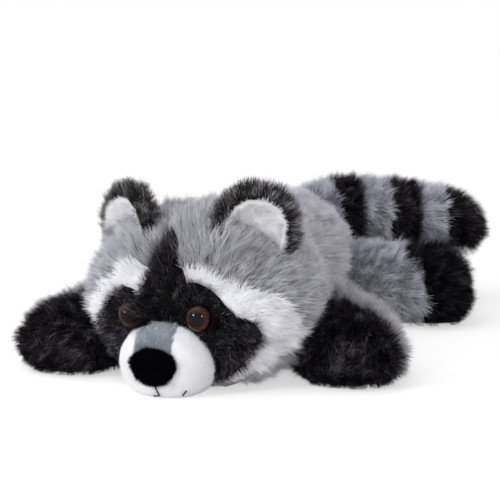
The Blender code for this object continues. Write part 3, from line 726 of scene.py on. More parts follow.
@dataclass
class Fur:
    """Hairs of one pile over one cloth."""

    cloth: Cloth
    pile: Pile
    comb: Comb
    trim: Trim
    seed: int

    def tangents(self, places: Array, normals: Array, rng: np.random.Generator) -> Array:
        """The combed direction along the cloth, with its ripples and strays.

        Args:
            places: The hairs' roots.
            normals: The cloth's normal at each.
            rng: The source of chance.

        Returns:
            One direction for each hair.
        """
        along = unit(self.comb(places))
        along = unit(along - (along * normals).sum(1)[:, None] * normals)
        beside = np.cross(normals, along)
        wide, narrow = (ripple.over(places, self.seed) for ripple in GROWTH.turn_ripples)
        turn = wide + narrow + rng.normal(0, self.pile.stray, len(places))
        return along * np.cos(turn)[:, None] + beside * np.sin(turn)[:, None]

    def lengths(self, places: Array, trims: Array, rng: np.random.Generator) -> Array:
        """Every hair's length, shorter where it is trimmed and close to the table.

        Args:
            places: The hairs' roots.
            trims: How much of the pile's length is left at each.
            rng: The source of chance.

        Returns:
            Lengths in metres.
        """
        chance = rng.normal(1.0, GROWTH.length_spread, len(places))
        lengths = self.pile.length * trims * np.clip(chance, *GROWTH.length_limits)
        lengths *= 1 + GROWTH.length_ripple.over(places, self.seed)
        return lengths * np.clip(TABLE_TRIM + places[:, 2] / TABLE_REACH, 0, 1)

    def strands(self) -> tuple[Array, Array, Array, Array]:
        """Every hair's line.

        Returns:
            Root, knee and tip of every hair, and the cloth's normal at its root.
        """
        pile, rng = self.pile, np.random.default_rng(self.seed)
        places, normals = self.cloth.roots(pile.density, rng)
        trims = self.trim(places)
        kept = trims > SHORTEST_TRIM
        places, normals, trims = places[kept], normals[kept], trims[kept]
        along = self.tangents(places, normals, rng)
        lengths = self.lengths(places, trims, rng)
        lean = pile.lean + GROWTH.lean_ripple.over(places, self.seed)
        lean = lean + rng.normal(0, GROWTH.lean_spread, len(places))
        lean = np.clip(lean, *GROWTH.lean_limits)[:, None]
        low = lean * GROWTH.low_lean
        high = np.minimum(lean * GROWTH.high_lean, GROWTH.high_limit)
        roots = places - normals * pile.depth
        rise = normals * np.cos(low) + along * np.sin(low)
        knees = roots + rise * (GROWTH.knee * lengths)[:, None]
        ends = normals * np.cos(high) + along * np.sin(high)
        ends[:, 2] -= pile.droop
        tips = knees + unit(ends) * ((1 - GROWTH.knee) * lengths)[:, None]
        self.gather(roots, knees, tips, rng)
        for points in (roots, knees, tips):
            points[:, 2] = np.maximum(points[:, 2], CONTACT)
        return roots, knees, tips, normals

    def gather(self, roots: Array, knees: Array, tips: Array, rng: np.random.Generator) -> None:
        """Draws the tips of neighbouring hairs together into tufts, in place.

        Args:
            roots: The hairs' roots.
            knees: Their knees, which follow a little.
            tips: Their tips.
            rng: The source of chance.
        """
        count = len(roots)
        leaders = rng.choice(count, max(count // self.pile.tuft, 1), replace=False)
        tree = KDTree(len(leaders))
        for index, place in enumerate(roots[leaders].tolist()):
            tree.insert(place, index)
        tree.balance()
        nearest = np.fromiter((tree.find(place)[1] for place in roots.tolist()), int, count)
        pull = self.pile.gather * rng.uniform(*GROWTH.tuft_pulls, len(leaders))[nearest]
        pull = np.minimum(pull * rng.uniform(*GROWTH.hair_pulls, count), GROWTH.pull_limit)[:, None]
        leader = leaders[nearest]
        tips += (tips[leader] - tips) * pull
        knees += (knees[leader] - knees) * pull * GROWTH.knee_pull

    def add_to(self, draft: MeshDraft) -> None:
        """Adds every hair as a pointed blade, bent at its knee where the pile is long.

        Args:
            draft: The mesh that takes the hairs.
        """
        roots, knees, tips, normals = self.strands()
        count, rng = len(roots), np.random.default_rng(self.seed + 9)
        run = unit(tips - roots)
        flat = unit(np.cross(run, normals))
        stood = np.cross(run, flat)
        twist = rng.uniform(-self.pile.twist, self.pile.twist, count)[:, None]
        half = (flat * np.cos(twist) + stood * np.sin(twist)) * self.pile.width / 2
        half *= rng.uniform(*GROWTH.widths, count)[:, None]
        knee_half = half * GROWTH.knee_width
        points = [roots - half, roots + half, knees + knee_half, knees - knee_half, tips]
        heights = np.array([0.04, 0.04, 0.52, 0.52, 0.98])
        shifts = np.array([-1, 1, 1, -1, 0]) * GROWTH.map_shift
        faces = [[0, 1, 2, 3], [3, 2, 4]]
        if not self.pile.bent:
            straight = [0, 1, 4]
            points, heights, shifts = [points[k] for k in straight], heights[straight], shifts[straight]
            faces = [[0, 1, 2]]
        corners = np.stack(points, 1)
        corners[:, :, 2] = np.maximum(corners[:, :, 2], CONTACT)
        starts = draft.add_corners(corners.reshape(-1, 3)) + np.arange(count)[:, None] * len(points)
        bright = 0.5 + GROWTH.light_ripple.over(roots, self.seed)
        bright = bright + rng.normal(0, GROWTH.light_spread, count)
        column = GROWTH.map_start + GROWTH.map_span * np.clip(bright, 0, 1)
        upward = np.broadcast_to(heights, (count, len(points)))
        places = np.stack([column[:, None] + shifts, upward], 2)
        for face in faces:
            draft.add_faces(starts + np.array(face), places[:, face])


def object_mesh(obj: bpy.types.Object) -> tuple[Array, Array]:
    """Takes the mesh of a scratch object, which is then removed.

    Args:
        obj: The object.

    Returns:
        Its corners and its triangles.
    """
    obj.data.calc_loop_triangles()
    corners = np.array([vertex.co for vertex in obj.data.vertices])
    faces = np.array([triangle.vertices for triangle in obj.data.loop_triangles])
    bpy.data.objects.remove(obj)
    return corners, faces


def cloth_places(corners: Array, faces: Array) -> Array:
    """Map places for cloth faces, in the corner of the map that has the roots' colour.

    Args:
        corners: The cloth's corners.
        faces: Its triangles.

    Returns:
        A place for each corner of each face.
    """
    low, high = corners.min(0), corners.max(0)
    shares = (corners - low) / np.maximum(high - low, 1e-6)
    return (0.03 + shares[:, [0, 1]] * np.array([0.22, 0.05]))[faces]


def even_trim(places: Array) -> Array:
    """Leaves every hair its whole length."""
    return np.ones(len(places))


def away_from(start: Array) -> Comb:
    """A comb that lays hairs away from one point.

    Args:
        start: The point.

    Returns:
        The comb.
    """

    def comb(places: Array) -> Array:
        """The direction from the point to each place."""
        return places - start

    return comb


@dataclass
class Panel:
    """One sewn cloth of the toy, dressed with its pile, which may lap over other nodes."""

    node: str
    finish: PileFinish
    comb: Comb
    trim: Trim = even_trim
    pile: Pile = LONG_PILE
    fill: float = 0.7
    seed: int = 1
    laps: tuple[tuple[str, Trim], ...] = ()

    def build(self, solids: Solids) -> bpy.types.Object:
        """Makes the panel's cloth and hairs as one mesh that replaces its node.

        Args:
            solids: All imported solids.

        Returns:
            The finished piece.
        """
        cloth = Cloth(*node_mesh(self.node), solids)
        draft = MeshDraft()
        corners = cloth.sunk(self.pile.depth)
        first = draft.add_corners(corners)
        draft.add_faces(cloth.faces + first, cloth_places(corners, cloth.faces))
        Fur(cloth, self.pile, self.comb, self.trim, self.seed).add_to(draft)
        for seed, (under, reach) in enumerate(self.laps, self.seed + 5):
            covered = Cloth(*node_mesh(under), solids)
            Fur(covered, self.pile, self.comb, reach, seed).add_to(draft)
        name = f"fur_{self.node}"
        obj = new_object(name, draft.mesh(name), self.finish.material())
        settle(obj, (self.node,))
        return obj


@dataclass(frozen=True)
class LapSeam:
    """A foot's black fur laps over the thigh, further back near the top of the leg."""

    upper: str
    lower: str
    level: float = 0.020
    rise: float = 0.027
    reach: float = 0.017
    bow: float = 2.3

    def past(self, places: Array) -> Array:
        """Where the foot's fur covers the thigh.

        Args:
            places: Places on the thigh.

        Returns:
            One where it is covered, and zero elsewhere.
        """
        upper, lower = (box_middle(node) for node in (self.upper, self.lower))
        run = unit((lower - upper) * np.array([1, 1, 0]))
        edge = (node_mesh(self.upper)[0] @ run).max()
        height = np.clip((places[:, 2] - self.level) / self.rise, 0, 1) ** self.bow
        return (places @ run > edge - height * self.reach).astype(float)

    def short(self, places: Array) -> Array:
        """The rest of the thigh keeps its own hairs."""
        return 1 - self.past(places)


@dataclass(frozen=True)
class Lane:
    """A line through the middles of sewn pieces, which hairs are combed along."""

    points: tuple[tuple[float, float, float], ...]
    width: float = 0.022

    def __call__(self, places: Array) -> Array:
        """The lane's direction beside each place.

        Args:
            places: Places on the cloth.

        Returns:
            One direction for each.
        """
        points = np.array(self.points)
        starts, runs = points[:-1], np.diff(points, axis=0)
        middles = starts + runs / 2
        gaps = np.linalg.norm(places[:, None, :] - middles[None], axis=2)
        weights = np.exp(-((gaps / self.width) ** 2)) + 1e-9
        return (weights[:, :, None] * unit(runs)[None]).sum(1)


# Head


@dataclass
class HeadFrame:
    """Where the head stands: its own directions are across, ahead and up."""

    neck: tuple[float, float] = (-0.0015, -0.082)
    turn: float = math.radians(6.5)

    def world(self, across: float, ahead: float, height: float) -> Vector:
        """A point given in the head's own directions, in the CAD frame."""
        turned = Matrix.Rotation(-self.turn, 3, "Z") @ Vector((across, -ahead, height))
        return turned + Vector((*self.neck, 0))

    def placement(self) -> Matrix:
        """The matrix that takes the head's own directions to the CAD frame."""
        return Matrix.Translation(self.world(0, 0, 0)) @ Matrix.Rotation(-self.turn, 4, "Z")


@dataclass(frozen=True)
class EarLap:
    """The crown's fur over the lower inner corner of an ear's lining."""

    lining: str
    sign: int
    outer: float
    inner: float = 0.86
    length: float = 0.80

    def cover(self, places: Array) -> Array:
        """The crown's hairs below a slanting line on the lining.

        Args:
            places: Places on the lining.

        Returns:
            How much of their length is left, and zero above the line.
        """
        low, high = (np.array(corner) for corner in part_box(self.lining))
        shares = (places - low) / (high - low)
        across = shares[:, 0] if self.sign > 0 else 1 - shares[:, 0]
        edge = self.inner + (self.outer - self.inner) * across
        return (shares[:, 2] < edge) * self.length


@dataclass
class HeadFur:
    """Crown, blaze, masks and brow bands, combed away from the muzzle."""

    head: HeadFrame
    source: tuple[float, float, float] = (0.0, 0.058, 0.030)
    muzzle: tuple[float, float, float] = (0.0, 0.056, 0.021)
    muzzle_radius: float = 0.031
    eye_radius: float = 0.0085
    # share of the length right beside the form, how far off it is whole, and the least share
    muzzle_trim: tuple[float, float, float] = (0.34, 0.042, 0.30)
    eye_trim: tuple[float, float, float] = (0.26, 0.026, 0.22)
    fall: float = 0.10
    eyes: list[Vector] = field(default_factory=list)
    # place, reach and how much longer or shorter the hairs are there
    locks: tuple[tuple[tuple[float, float, float], float, float], ...] = (
        ((0.0215, -0.1270, 0.0850), 0.014, 1.00),
        ((-0.0330, -0.1210, 0.0830), 0.012, 0.85),
        ((0.0520, -0.1130, 0.0820), 0.008, -0.40),
    )
    forelock: tuple[float, float, float] = (-0.0210, -0.1430, 0.0455)
    forelock_reach: tuple[float, float, float] = (0.0060, 0.0200, 0.0120)
    forelock_length: float = 1.85
    forelock_turn: float = 1.2

    def comb(self, places: Array) -> Array:
        """Away from the muzzle and a little down, and the forelock to the right eye.

        Args:
            places: Places on the head.

        Returns:
            The combed direction at each.
        """
        away = unit(places - np.array(self.head.world(*self.source)))
        away[:, 2] -= self.fall
        away[:, 0] -= self.forelock_turn * self.forelock_share(places)
        return away

    def forelock_share(self, places: Array) -> Array:
        """How much a place belongs to the lock that hangs over the right eye's inner side."""
        gaps = (places - np.array(self.forelock)) / np.array(self.forelock_reach)
        return np.exp(-(gaps**2).sum(1))

    def trim(self, places: Array) -> Array:
        """Short beside the muzzle and the eyes, full from the brow back.

        Args:
            places: Places on the head.

        Returns:
            How much of the pile's length is left at each.
        """
        start, reach, least = self.muzzle_trim
        muzzle = np.array(self.head.world(*self.muzzle))
        gap = np.linalg.norm(places - muzzle, axis=1) - self.muzzle_radius
        trims = np.clip(start + gap / reach, least, 1.0)
        start, reach, least = self.eye_trim
        for eye in self.eyes:
            gap = np.linalg.norm(places - np.array(eye), axis=1) - self.eye_radius
            trims = np.minimum(trims, np.clip(start + gap / reach, least, 1.0))
        for place, reach, change in self.locks:
            gap = np.linalg.norm(places - np.array(place), axis=1)
            trims = trims * (1 + change * np.exp(-((gap / reach) ** 2)))
        return np.maximum(trims, self.forelock_length * self.forelock_share(places))

    def build(self, solids: Solids) -> None:
        """Makes every fur panel of the head.

        Args:
            solids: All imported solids.
        """
        ears = (EarLap("ear_lining_left", 1, 0.02), EarLap("ear_lining_right", -1, 0.34))
        laps = tuple((ear.lining, ear.cover) for ear in ears)
        panels = [
            Panel("head_crown", GREY_PILE, self.comb, self.trim, LONG_PILE, seed=11, laps=laps),
            Panel("blaze", BLACK_PILE, self.comb, self.trim, LONG_PILE, seed=21),
            Panel("mask_left", MASK_BLACK, self.comb, self.trim, LONG_PILE, seed=31),
            Panel("mask_right", MASK_BLACK, self.comb, self.trim, LONG_PILE, seed=41),
            Panel("brow_band_left", WHITE_PILE, self.comb, self.trim, SOFT_PILE, seed=51),
            Panel("brow_band_right", WHITE_PILE, self.comb, self.trim, SOFT_PILE, seed=61),
        ]
        for panel in panels:
            panel.build(solids)


@dataclass
class EarFur:
    """Black fur ear backs and white velour linings."""

    root_drop: float = 0.030
    root_shift: float = 0.006
    back_fill: float = 0.3
    lining_fill: float = 0.2

    def build(self, solids: Solids) -> None:
        """Makes both ears: backs combed from the root, linings over their edges.

        Args:
            solids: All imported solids.
        """
        for side, sign, seed in (("left", 1, 71), ("right", -1, 91)):
            back, lining = f"ear_back_{side}", f"ear_lining_{side}"
            root = box_middle(back) - np.array([sign * self.root_shift, 0, self.root_drop])
            combed, spread = away_from(root), away_from(box_middle(lining))
            # the ear backs take the black with painted light through the thin hair
            Panel(back, EAR_BLACK_PAINTED_BACKLIGHT, combed, even_trim, EAR_PILE, self.back_fill, seed).build(solids)
            lined = Panel(lining, WHITE_NAP, spread, even_trim, LINING_NAP, self.lining_fill, seed + 10)
            lined.build(solids)


# Muzzle and nose


@dataclass
class Muzzle:
    """Two white velour sides and a grey bridge, sewn over one stuffed form."""

    head: HeadFrame
    width: float = 0.062
    height: float = 0.044
    reach: float = 0.079
    depth: float = 0.046
    bridge_half: float = 0.0125
    bridge_lean: float = -0.18
    bridge_foot: float = 0.019
    thickness: float = 0.0016
    seam_width: float = 0.0026
    seam_depth: float = 0.0007
    sides: int = 12
    smoothing: int = 3
    fill: float = 0.8
    back_cut: float = -0.026
    core: tuple[float, float, float] = (0.0, 0.045, 0.020)
    comb_level: float = 0.016
    # along, half width, middle, top, bottom as shares
    shape: tuple[tuple[float, ...], ...] = (
        (0.00, 0.86, 0.42, 0.96, -0.10),
        (0.45, 1.00, 0.42, 1.00, -0.16),
        (0.80, 0.90, 0.42, 0.92, -0.14),
        (1.00, 0.54, 0.42, 0.72, 0.06),
    )

    def form(self) -> bpy.types.Object:
        """The whole stuffed form in the head's own directions: X across, -Y ahead.

        Returns:
            The form as an object, smoothed and clear of the table.
        """
        # smoothing draws each ring inwards, and the spread makes up for that
        spread = 3 / (2 + math.cos(math.tau / self.sides))
        corners = []
        for along, half, middle, top, bottom in self.shape:
            for index in range(self.sides):
                angle = math.tau * index / self.sides
                rise = top - middle if math.sin(angle) > 0 else middle - bottom
                across = half * self.width / 2 * math.cos(angle) * spread
                height = (middle + rise * math.sin(angle) * spread) * self.height
                corners.append((across, self.depth * (1 - along) - self.reach, height))
        faces = []
        for ring in range(len(self.shape) - 1):
            for index in range(self.sides):
                following = (index + 1) % self.sides
                low, high = ring * self.sides, (ring + 1) * self.sides
                faces.append((low + index, low + following, high + following, high + index))
        faces.append(tuple(range(self.sides)))
        faces.append(tuple(range(len(corners) - self.sides, len(corners))))
        mesh = bpy.data.meshes.new("muzzle_form")
        mesh.from_pydata(corners, [], faces)
        shape = bmesh.new()
        shape.from_mesh(mesh)
        bmesh.ops.recalc_face_normals(shape, faces=shape.faces)
        shape.to_mesh(mesh)
        shape.free()
        obj = bpy.data.objects.new("muzzle_form", mesh)
        bpy.context.scene.collection.objects.link(obj)
        soft = obj.modifiers.new("soft", "SUBSURF")
        soft.levels = soft.render_levels = self.smoothing
        apply_modifiers(obj)
        for vertex in obj.data.vertices:
            vertex.co.z = max(vertex.co.z, CONTACT)
        return obj

    def seam_gap(self, across: float, height: float) -> float:
        """How far a point of the front view lies from the nearest seam.

        Args:
            across: The point's place across the muzzle.
            height: Its height.

        Returns:
            The distance in metres.
        """
        leant = across - self.bridge_lean * (height - self.bridge_foot)
        beside = math.hypot(abs(leant) - self.bridge_half, min(height - self.bridge_foot, 0))
        middle = abs(across) if height < self.bridge_foot else math.inf
        return min(beside, middle)

    def cut_form(
        self, form: bpy.types.Object, name: str, planes: list[tuple[Vector, Vector]]
    ) -> bpy.types.Mesh:
        """A copy of the form with all that lies on the far side of each plane cut off.

        Args:
            form: The whole form.
            name: The new mesh's name.
            planes: Points and directions; what lies along a direction goes.

        Returns:
            The cut mesh, a sheet with the form's outer surface.
        """
        shape = bmesh.new()
        shape.from_mesh(form.data)
        for point, direction in planes:
            geometry = [*shape.verts, *shape.edges, *shape.faces]
            bmesh.ops.bisect_plane(
                shape, geom=geometry, plane_co=point, plane_no=direction, clear_outer=True
            )
        mesh = bpy.data.meshes.new(name)
        shape.to_mesh(mesh)
        shape.free()
        return mesh

    def pieces(self, form: bpy.types.Object) -> list[tuple[str, PileFinish, bpy.types.Mesh]]:
        """The three cloths cut from the form.

        Args:
            form: The whole form.

        Returns:
            Each cloth's node, finish and mesh.
        """
        back = (Vector((0, self.back_cut, 0)), Vector((0, 1, 0)))
        cuts: list[tuple[str, PileFinish, bpy.types.Mesh]] = []
        half, foot = self.bridge_half, self.bridge_foot
        edges = {sign: Vector((sign * half, 0, foot)) for sign in (1, -1)}
        outward = Vector((1, 0, -self.bridge_lean))
        below = (Vector((0, 0, foot)), Vector((0, 0, -1)))
        strip = [back, (edges[1], outward), (edges[-1], -outward), below]
        cuts.append(("muzzle_bridge", GREY_NAP, self.cut_form(form, "muzzle_bridge", strip)))
        for side, sign in (("left", 1), ("right", -1)):
            outer = [back, (edges[sign], -sign * outward)]
            inner = [
                back,
                (Vector((0, 0, 0)), Vector((-sign, 0, 0))),
                (edges[sign], sign * outward),
                (Vector((0, 0, foot)), Vector((0, 0, 1))),
            ]
            both = bmesh.new()
            both.from_mesh(self.cut_form(form, "outer", outer))
            both.from_mesh(self.cut_form(form, "inner", inner))
            bmesh.ops.remove_doubles(both, verts=both.verts, dist=1 / MERGE_GRID)
            mesh = bpy.data.meshes.new(f"muzzle_{side}")
            both.to_mesh(mesh)
            both.free()
            cuts.append((f"muzzle_{side}", WHITE_NAP, mesh))
        return cuts

    def sew(self, name: str, mesh: bpy.types.Mesh) -> Cloth:
        """Draws a cut cloth in at its seams, sets it on the head and gives it a thickness.

        Args:
            name: The cloth's node.
            mesh: Its outer surface, in the head's own directions.

        Returns:
            The cloth, open on its outer side.
        """
        for vertex in mesh.vertices:
            gap = self.seam_gap(vertex.co.x, vertex.co.z)
            sink = self.seam_depth * max(0.0, 1 - gap / self.seam_width) ** 2
            vertex.co -= vertex.normal * sink
        mesh.transform(self.head.placement())
        obj = bpy.data.objects.new(name, mesh)
        bpy.context.scene.collection.objects.link(obj)
        thick = obj.modifiers.new("cloth", "SOLIDIFY")
        thick.thickness = self.thickness
        thick.offset = -1
        apply_modifiers(obj)
        corners, faces = object_mesh(obj)
        cloth = Cloth(corners, faces, None)
        first, second, third = (corners[faces[:, k]] for k in range(3))
        outward = corners[faces].mean(1) - np.array(self.head.world(*self.core))
        cloth.open = (outward * np.cross(second - first, third - first)).sum(1) > 0
        return cloth

    def build(self) -> BVHTree:
        """Makes the three cloths.

        Returns:
            The whole form's search tree, in the CAD frame.
        """
        form = self.form()
        for index, (node, finish, mesh) in enumerate(self.pieces(form)):
            cloth = self.sew(node, mesh)
            draft = MeshDraft()
            first = draft.add_corners(cloth.corners)
            draft.add_faces(cloth.faces + first, cloth_places(cloth.corners, cloth.faces))
            pile = BRIDGE_NAP if node == "muzzle_bridge" else NAP
            Fur(cloth, pile, self.comb, even_trim, 201 + 10 * index).add_to(draft)
            name = f"velour_{node}"
            piece = new_object(name, draft.mesh(name), finish.material())
            settle(piece, (node,))
        form.data.transform(self.head.placement())
        corners = [vertex.co[:] for vertex in form.data.vertices]
        tree = BVHTree.FromPolygons(corners, [face.vertices[:] for face in form.data.polygons])
        bpy.data.objects.remove(form)
        return tree

    def comb(self, places: Array) -> Array:
        """From the nose back over the cheeks."""
        return places - np.array(self.head.world(0, self.reach, self.comb_level))


@dataclass
class Nose:
    """A padded black velour nose, a little narrower below."""

    head: HeadFrame
    width: float = 0.0285
    height: float = 0.0225
    depth: float = 0.0125
    reach: float = 0.0790
    level: float = 0.0190
    taper: float = 0.20
    taper_limit: float = 0.35
    sides: int = 40
    rings: int = 24
    fall: float = 0.004
    fill: float = 0.9

    def build(self) -> None:
        """Makes the nose from a ball, and grows its short nap."""
        bpy.ops.object.select_all(action="DESELECT")
        bpy.ops.mesh.primitive_uv_sphere_add(segments=self.sides, ring_count=self.rings, radius=0.5)
        ball = bpy.context.active_object
        for vertex in ball.data.vertices:
            across, ahead, up = vertex.co
            across *= 1 + self.taper * min(2 * up, self.taper_limit)
            vertex.co = (across * self.width, ahead * self.depth, up * self.height)
        place = self.head.world(0, self.reach, self.level)
        ball.data.transform(Matrix.Translation(place) @ Matrix.Rotation(-self.head.turn, 4, "Z"))
        corners, faces = object_mesh(ball)
        # Blender gives the ball's faces in another order each run
        faces = np.array([np.roll(face, -face.argmin()) for face in faces])
        faces = faces[np.lexsort(faces.T)]
        draft = MeshDraft()
        first = draft.add_corners(corners)
        draft.add_faces(faces + first, cloth_places(corners, faces))

        def comb(places: Array) -> Array:
            """Out from the middle of the nose, and a little down."""
            away = places - np.array(place)
            away[:, 2] -= self.fall
            return away

        Fur(Cloth(corners, faces, None), NOSE_NAP, comb, even_trim, 301).add_to(draft)
        piece = new_object("velour_nose", draft.mesh("velour_nose"), BLACK_NAP.material())
        settle(piece, ("nose",))


@dataclass
class Mouth:
    """Stitches sewn into the muzzle: under the nose and at one corner of the mouth.

    Each line is given by its places across the muzzle and their heights.
    """

    head: HeadFrame
    thread: float = 0.0009
    lift: float = 0.9
    lines: tuple[tuple[tuple[float, float], ...], ...] = (
        ((0.0008, 0.0092), (0.0014, 0.0068), (0.0021, 0.0044), (0.0030, 0.0020)),
        ((-0.0008, 0.0016), (0.0010, 0.0017), (0.0030, 0.0022)),
        ((0.0185, 0.0058), (0.0174, 0.0044), (0.0158, 0.0026)),
    )

    def build(self, surface: BVHTree) -> None:
        """Lays each thread on the muzzle.

        Args:
            surface: The muzzle's search tree.
        """
        curve = bpy.data.curves.new("mouth_stitches", "CURVE")
        curve.dimensions = "3D"
        curve.bevel_depth = self.thread / 2
        curve.bevel_resolution = 3
        curve.use_fill_caps = True
        ahead = Vector(self.head.world(0, 1, 0) - self.head.world(0, 0, 0))
        for line in self.lines:
            spline = curve.splines.new("BEZIER")
            spline.bezier_points.add(len(line) - 1)
            for point, (across, height) in zip(spline.bezier_points, line):
                start = self.head.world(across, 0.2, height)
                hit, normal, _, _ = surface.ray_cast(start, -ahead)
                point.co = hit + normal * self.thread * self.lift
                point.handle_left_type = point.handle_right_type = "AUTO"
        obj = bpy.data.objects.new("mouth_stitches", curve)
        bpy.context.scene.collection.objects.link(obj)
        select_only(obj)
        bpy.ops.object.convert(target="MESH")
        obj = bpy.context.active_object
        obj.data.shade_smooth()
        obj.data.materials.clear()
        obj.data.materials.append(THREAD.material())
        settle(obj, ())


# Eyes


@dataclass
class Eye:
    """A moulded safety eye: polished dome, rim, and the shank through the cloth."""

    node: str
    dome: float = 0.0062
    rim: float = 0.0012
    radius: float = 0.0080
    shank_radius: float = 0.0021
    shank_length: float = 0.013
    sides: int = 48
    steps: int = 10
    crease: float = math.radians(35)

    def place(self) -> Matrix:
        """Where the eye's rim stands.

        Returns:
            Its placement, with +Z out of the face.
        """
        corners, _ = node_mesh(self.node)
        gaps = np.linalg.norm(corners[:, None] - corners[None], axis=2)
        first, second = np.unravel_index(gaps.argmax(), gaps.shape)
        ends = (Vector(corners[first]), Vector(corners[second]))
        apex, foot = sorted(ends, key=lambda point: point.y)
        axis = (apex - foot).normalized()
        # the foot is on the shank's edge or its middle: the mean of its last ring is the middle
        depth = (corners - np.array(apex)) @ np.array(-axis)
        foot = Vector(corners[depth > depth.max() - self.rim].mean(0))
        axis = (apex - foot).normalized()
        turn = axis.to_track_quat("Z", "Y").to_matrix().to_4x4()
        return Matrix.Translation(apex - axis * (self.dome + self.rim)) @ turn

    def raise_dome(self, shape: bmesh.types.BMesh) -> None:
        """Extrudes the rim's top face step by step into a closed dome.

        Args:
            shape: The rim, whose top face is one polygon.
        """
        top = max(shape.faces, key=lambda face: face.calc_center_median().z)
        for step in range(1, self.steps):
            angle = math.pi / 2 * step / self.steps
            before = math.cos(math.pi / 2 * (step - 1) / self.steps)
            grown = bmesh.ops.extrude_face_region(shape, geom=[top])
            top_faces = [item for item in grown["geom"] if isinstance(item, bmesh.types.BMFace)]
            bmesh.ops.delete(shape, geom=[top], context="FACES_ONLY")
            top = top_faces[0]
            share = math.cos(angle) / before
            height = self.rim + self.dome * math.sin(angle)
            for vertex in top.verts:
                vertex.co = (vertex.co.x * share, vertex.co.y * share, height)
        bmesh.ops.poke(shape, faces=[top])
        apex = max(shape.verts, key=lambda vertex: vertex.co.z - vertex.co.xy.length)
        apex.co.z = self.rim + self.dome

    def draw_shank(self, shape: bmesh.types.BMesh) -> None:
        """Insets the rim's bottom face and extrudes it into the shank.

        Args:
            shape: The rim with its dome.
        """
        bottom = min(shape.faces, key=lambda face: face.calc_center_median().z)
        width = self.radius - self.shank_radius
        bmesh.ops.inset_individual(shape, faces=[bottom], thickness=width)
        rounds = (face for face in shape.faces if len(face.verts) > 4)
        bottom = min(rounds, key=lambda face: face.calc_center_median().z)
        grown = bmesh.ops.extrude_face_region(shape, geom=[bottom])
        bmesh.ops.delete(shape, geom=[bottom], context="FACES_ONLY")
        moved = [item for item in grown["geom"] if isinstance(item, bmesh.types.BMVert)]
        bmesh.ops.translate(shape, verts=moved, vec=(0, 0, -self.shank_length))

    def build(self) -> Vector:
        """Makes the eye from a cylinder.

        Returns:
            The middle of its rim.
        """
        bpy.ops.object.select_all(action="DESELECT")
        bpy.ops.mesh.primitive_cylinder_add(
            vertices=self.sides, radius=self.radius, depth=self.rim, end_fill_type="NGON"
        )
        eye = bpy.context.active_object
        shape = bmesh.new()
        shape.from_mesh(eye.data)
        bmesh.ops.translate(shape, verts=shape.verts, vec=(0, 0, self.rim / 2))
        self.raise_dome(shape)
        self.draw_shank(shape)
        bmesh.ops.recalc_face_normals(shape, faces=shape.faces)
        layer = shape.loops.layers.uv.get("UVMap") or shape.loops.layers.uv.verify()
        for face in shape.faces:
            for loop in face.loops:
                spot = loop.vert.co / (EYE_MAP_SPAN * self.radius)
                loop[layer].uv = (0.5 + spot.x, 0.5 + spot.y)
        shape.to_mesh(eye.data)
        shape.free()
        eye.data.uv_layers[0].name = BAKE_MAP
        eye.data.transform(self.place())
        eye.name = eye.data.name = f"polished_{self.node}"
        eye.data.materials.clear()
        eye.data.materials.append(EyeFinish().material())
        select_only(eye)
        bpy.ops.object.shade_smooth_by_angle(angle=self.crease)
        settle(eye, (self.node,))
        return self.place().translation


# Body


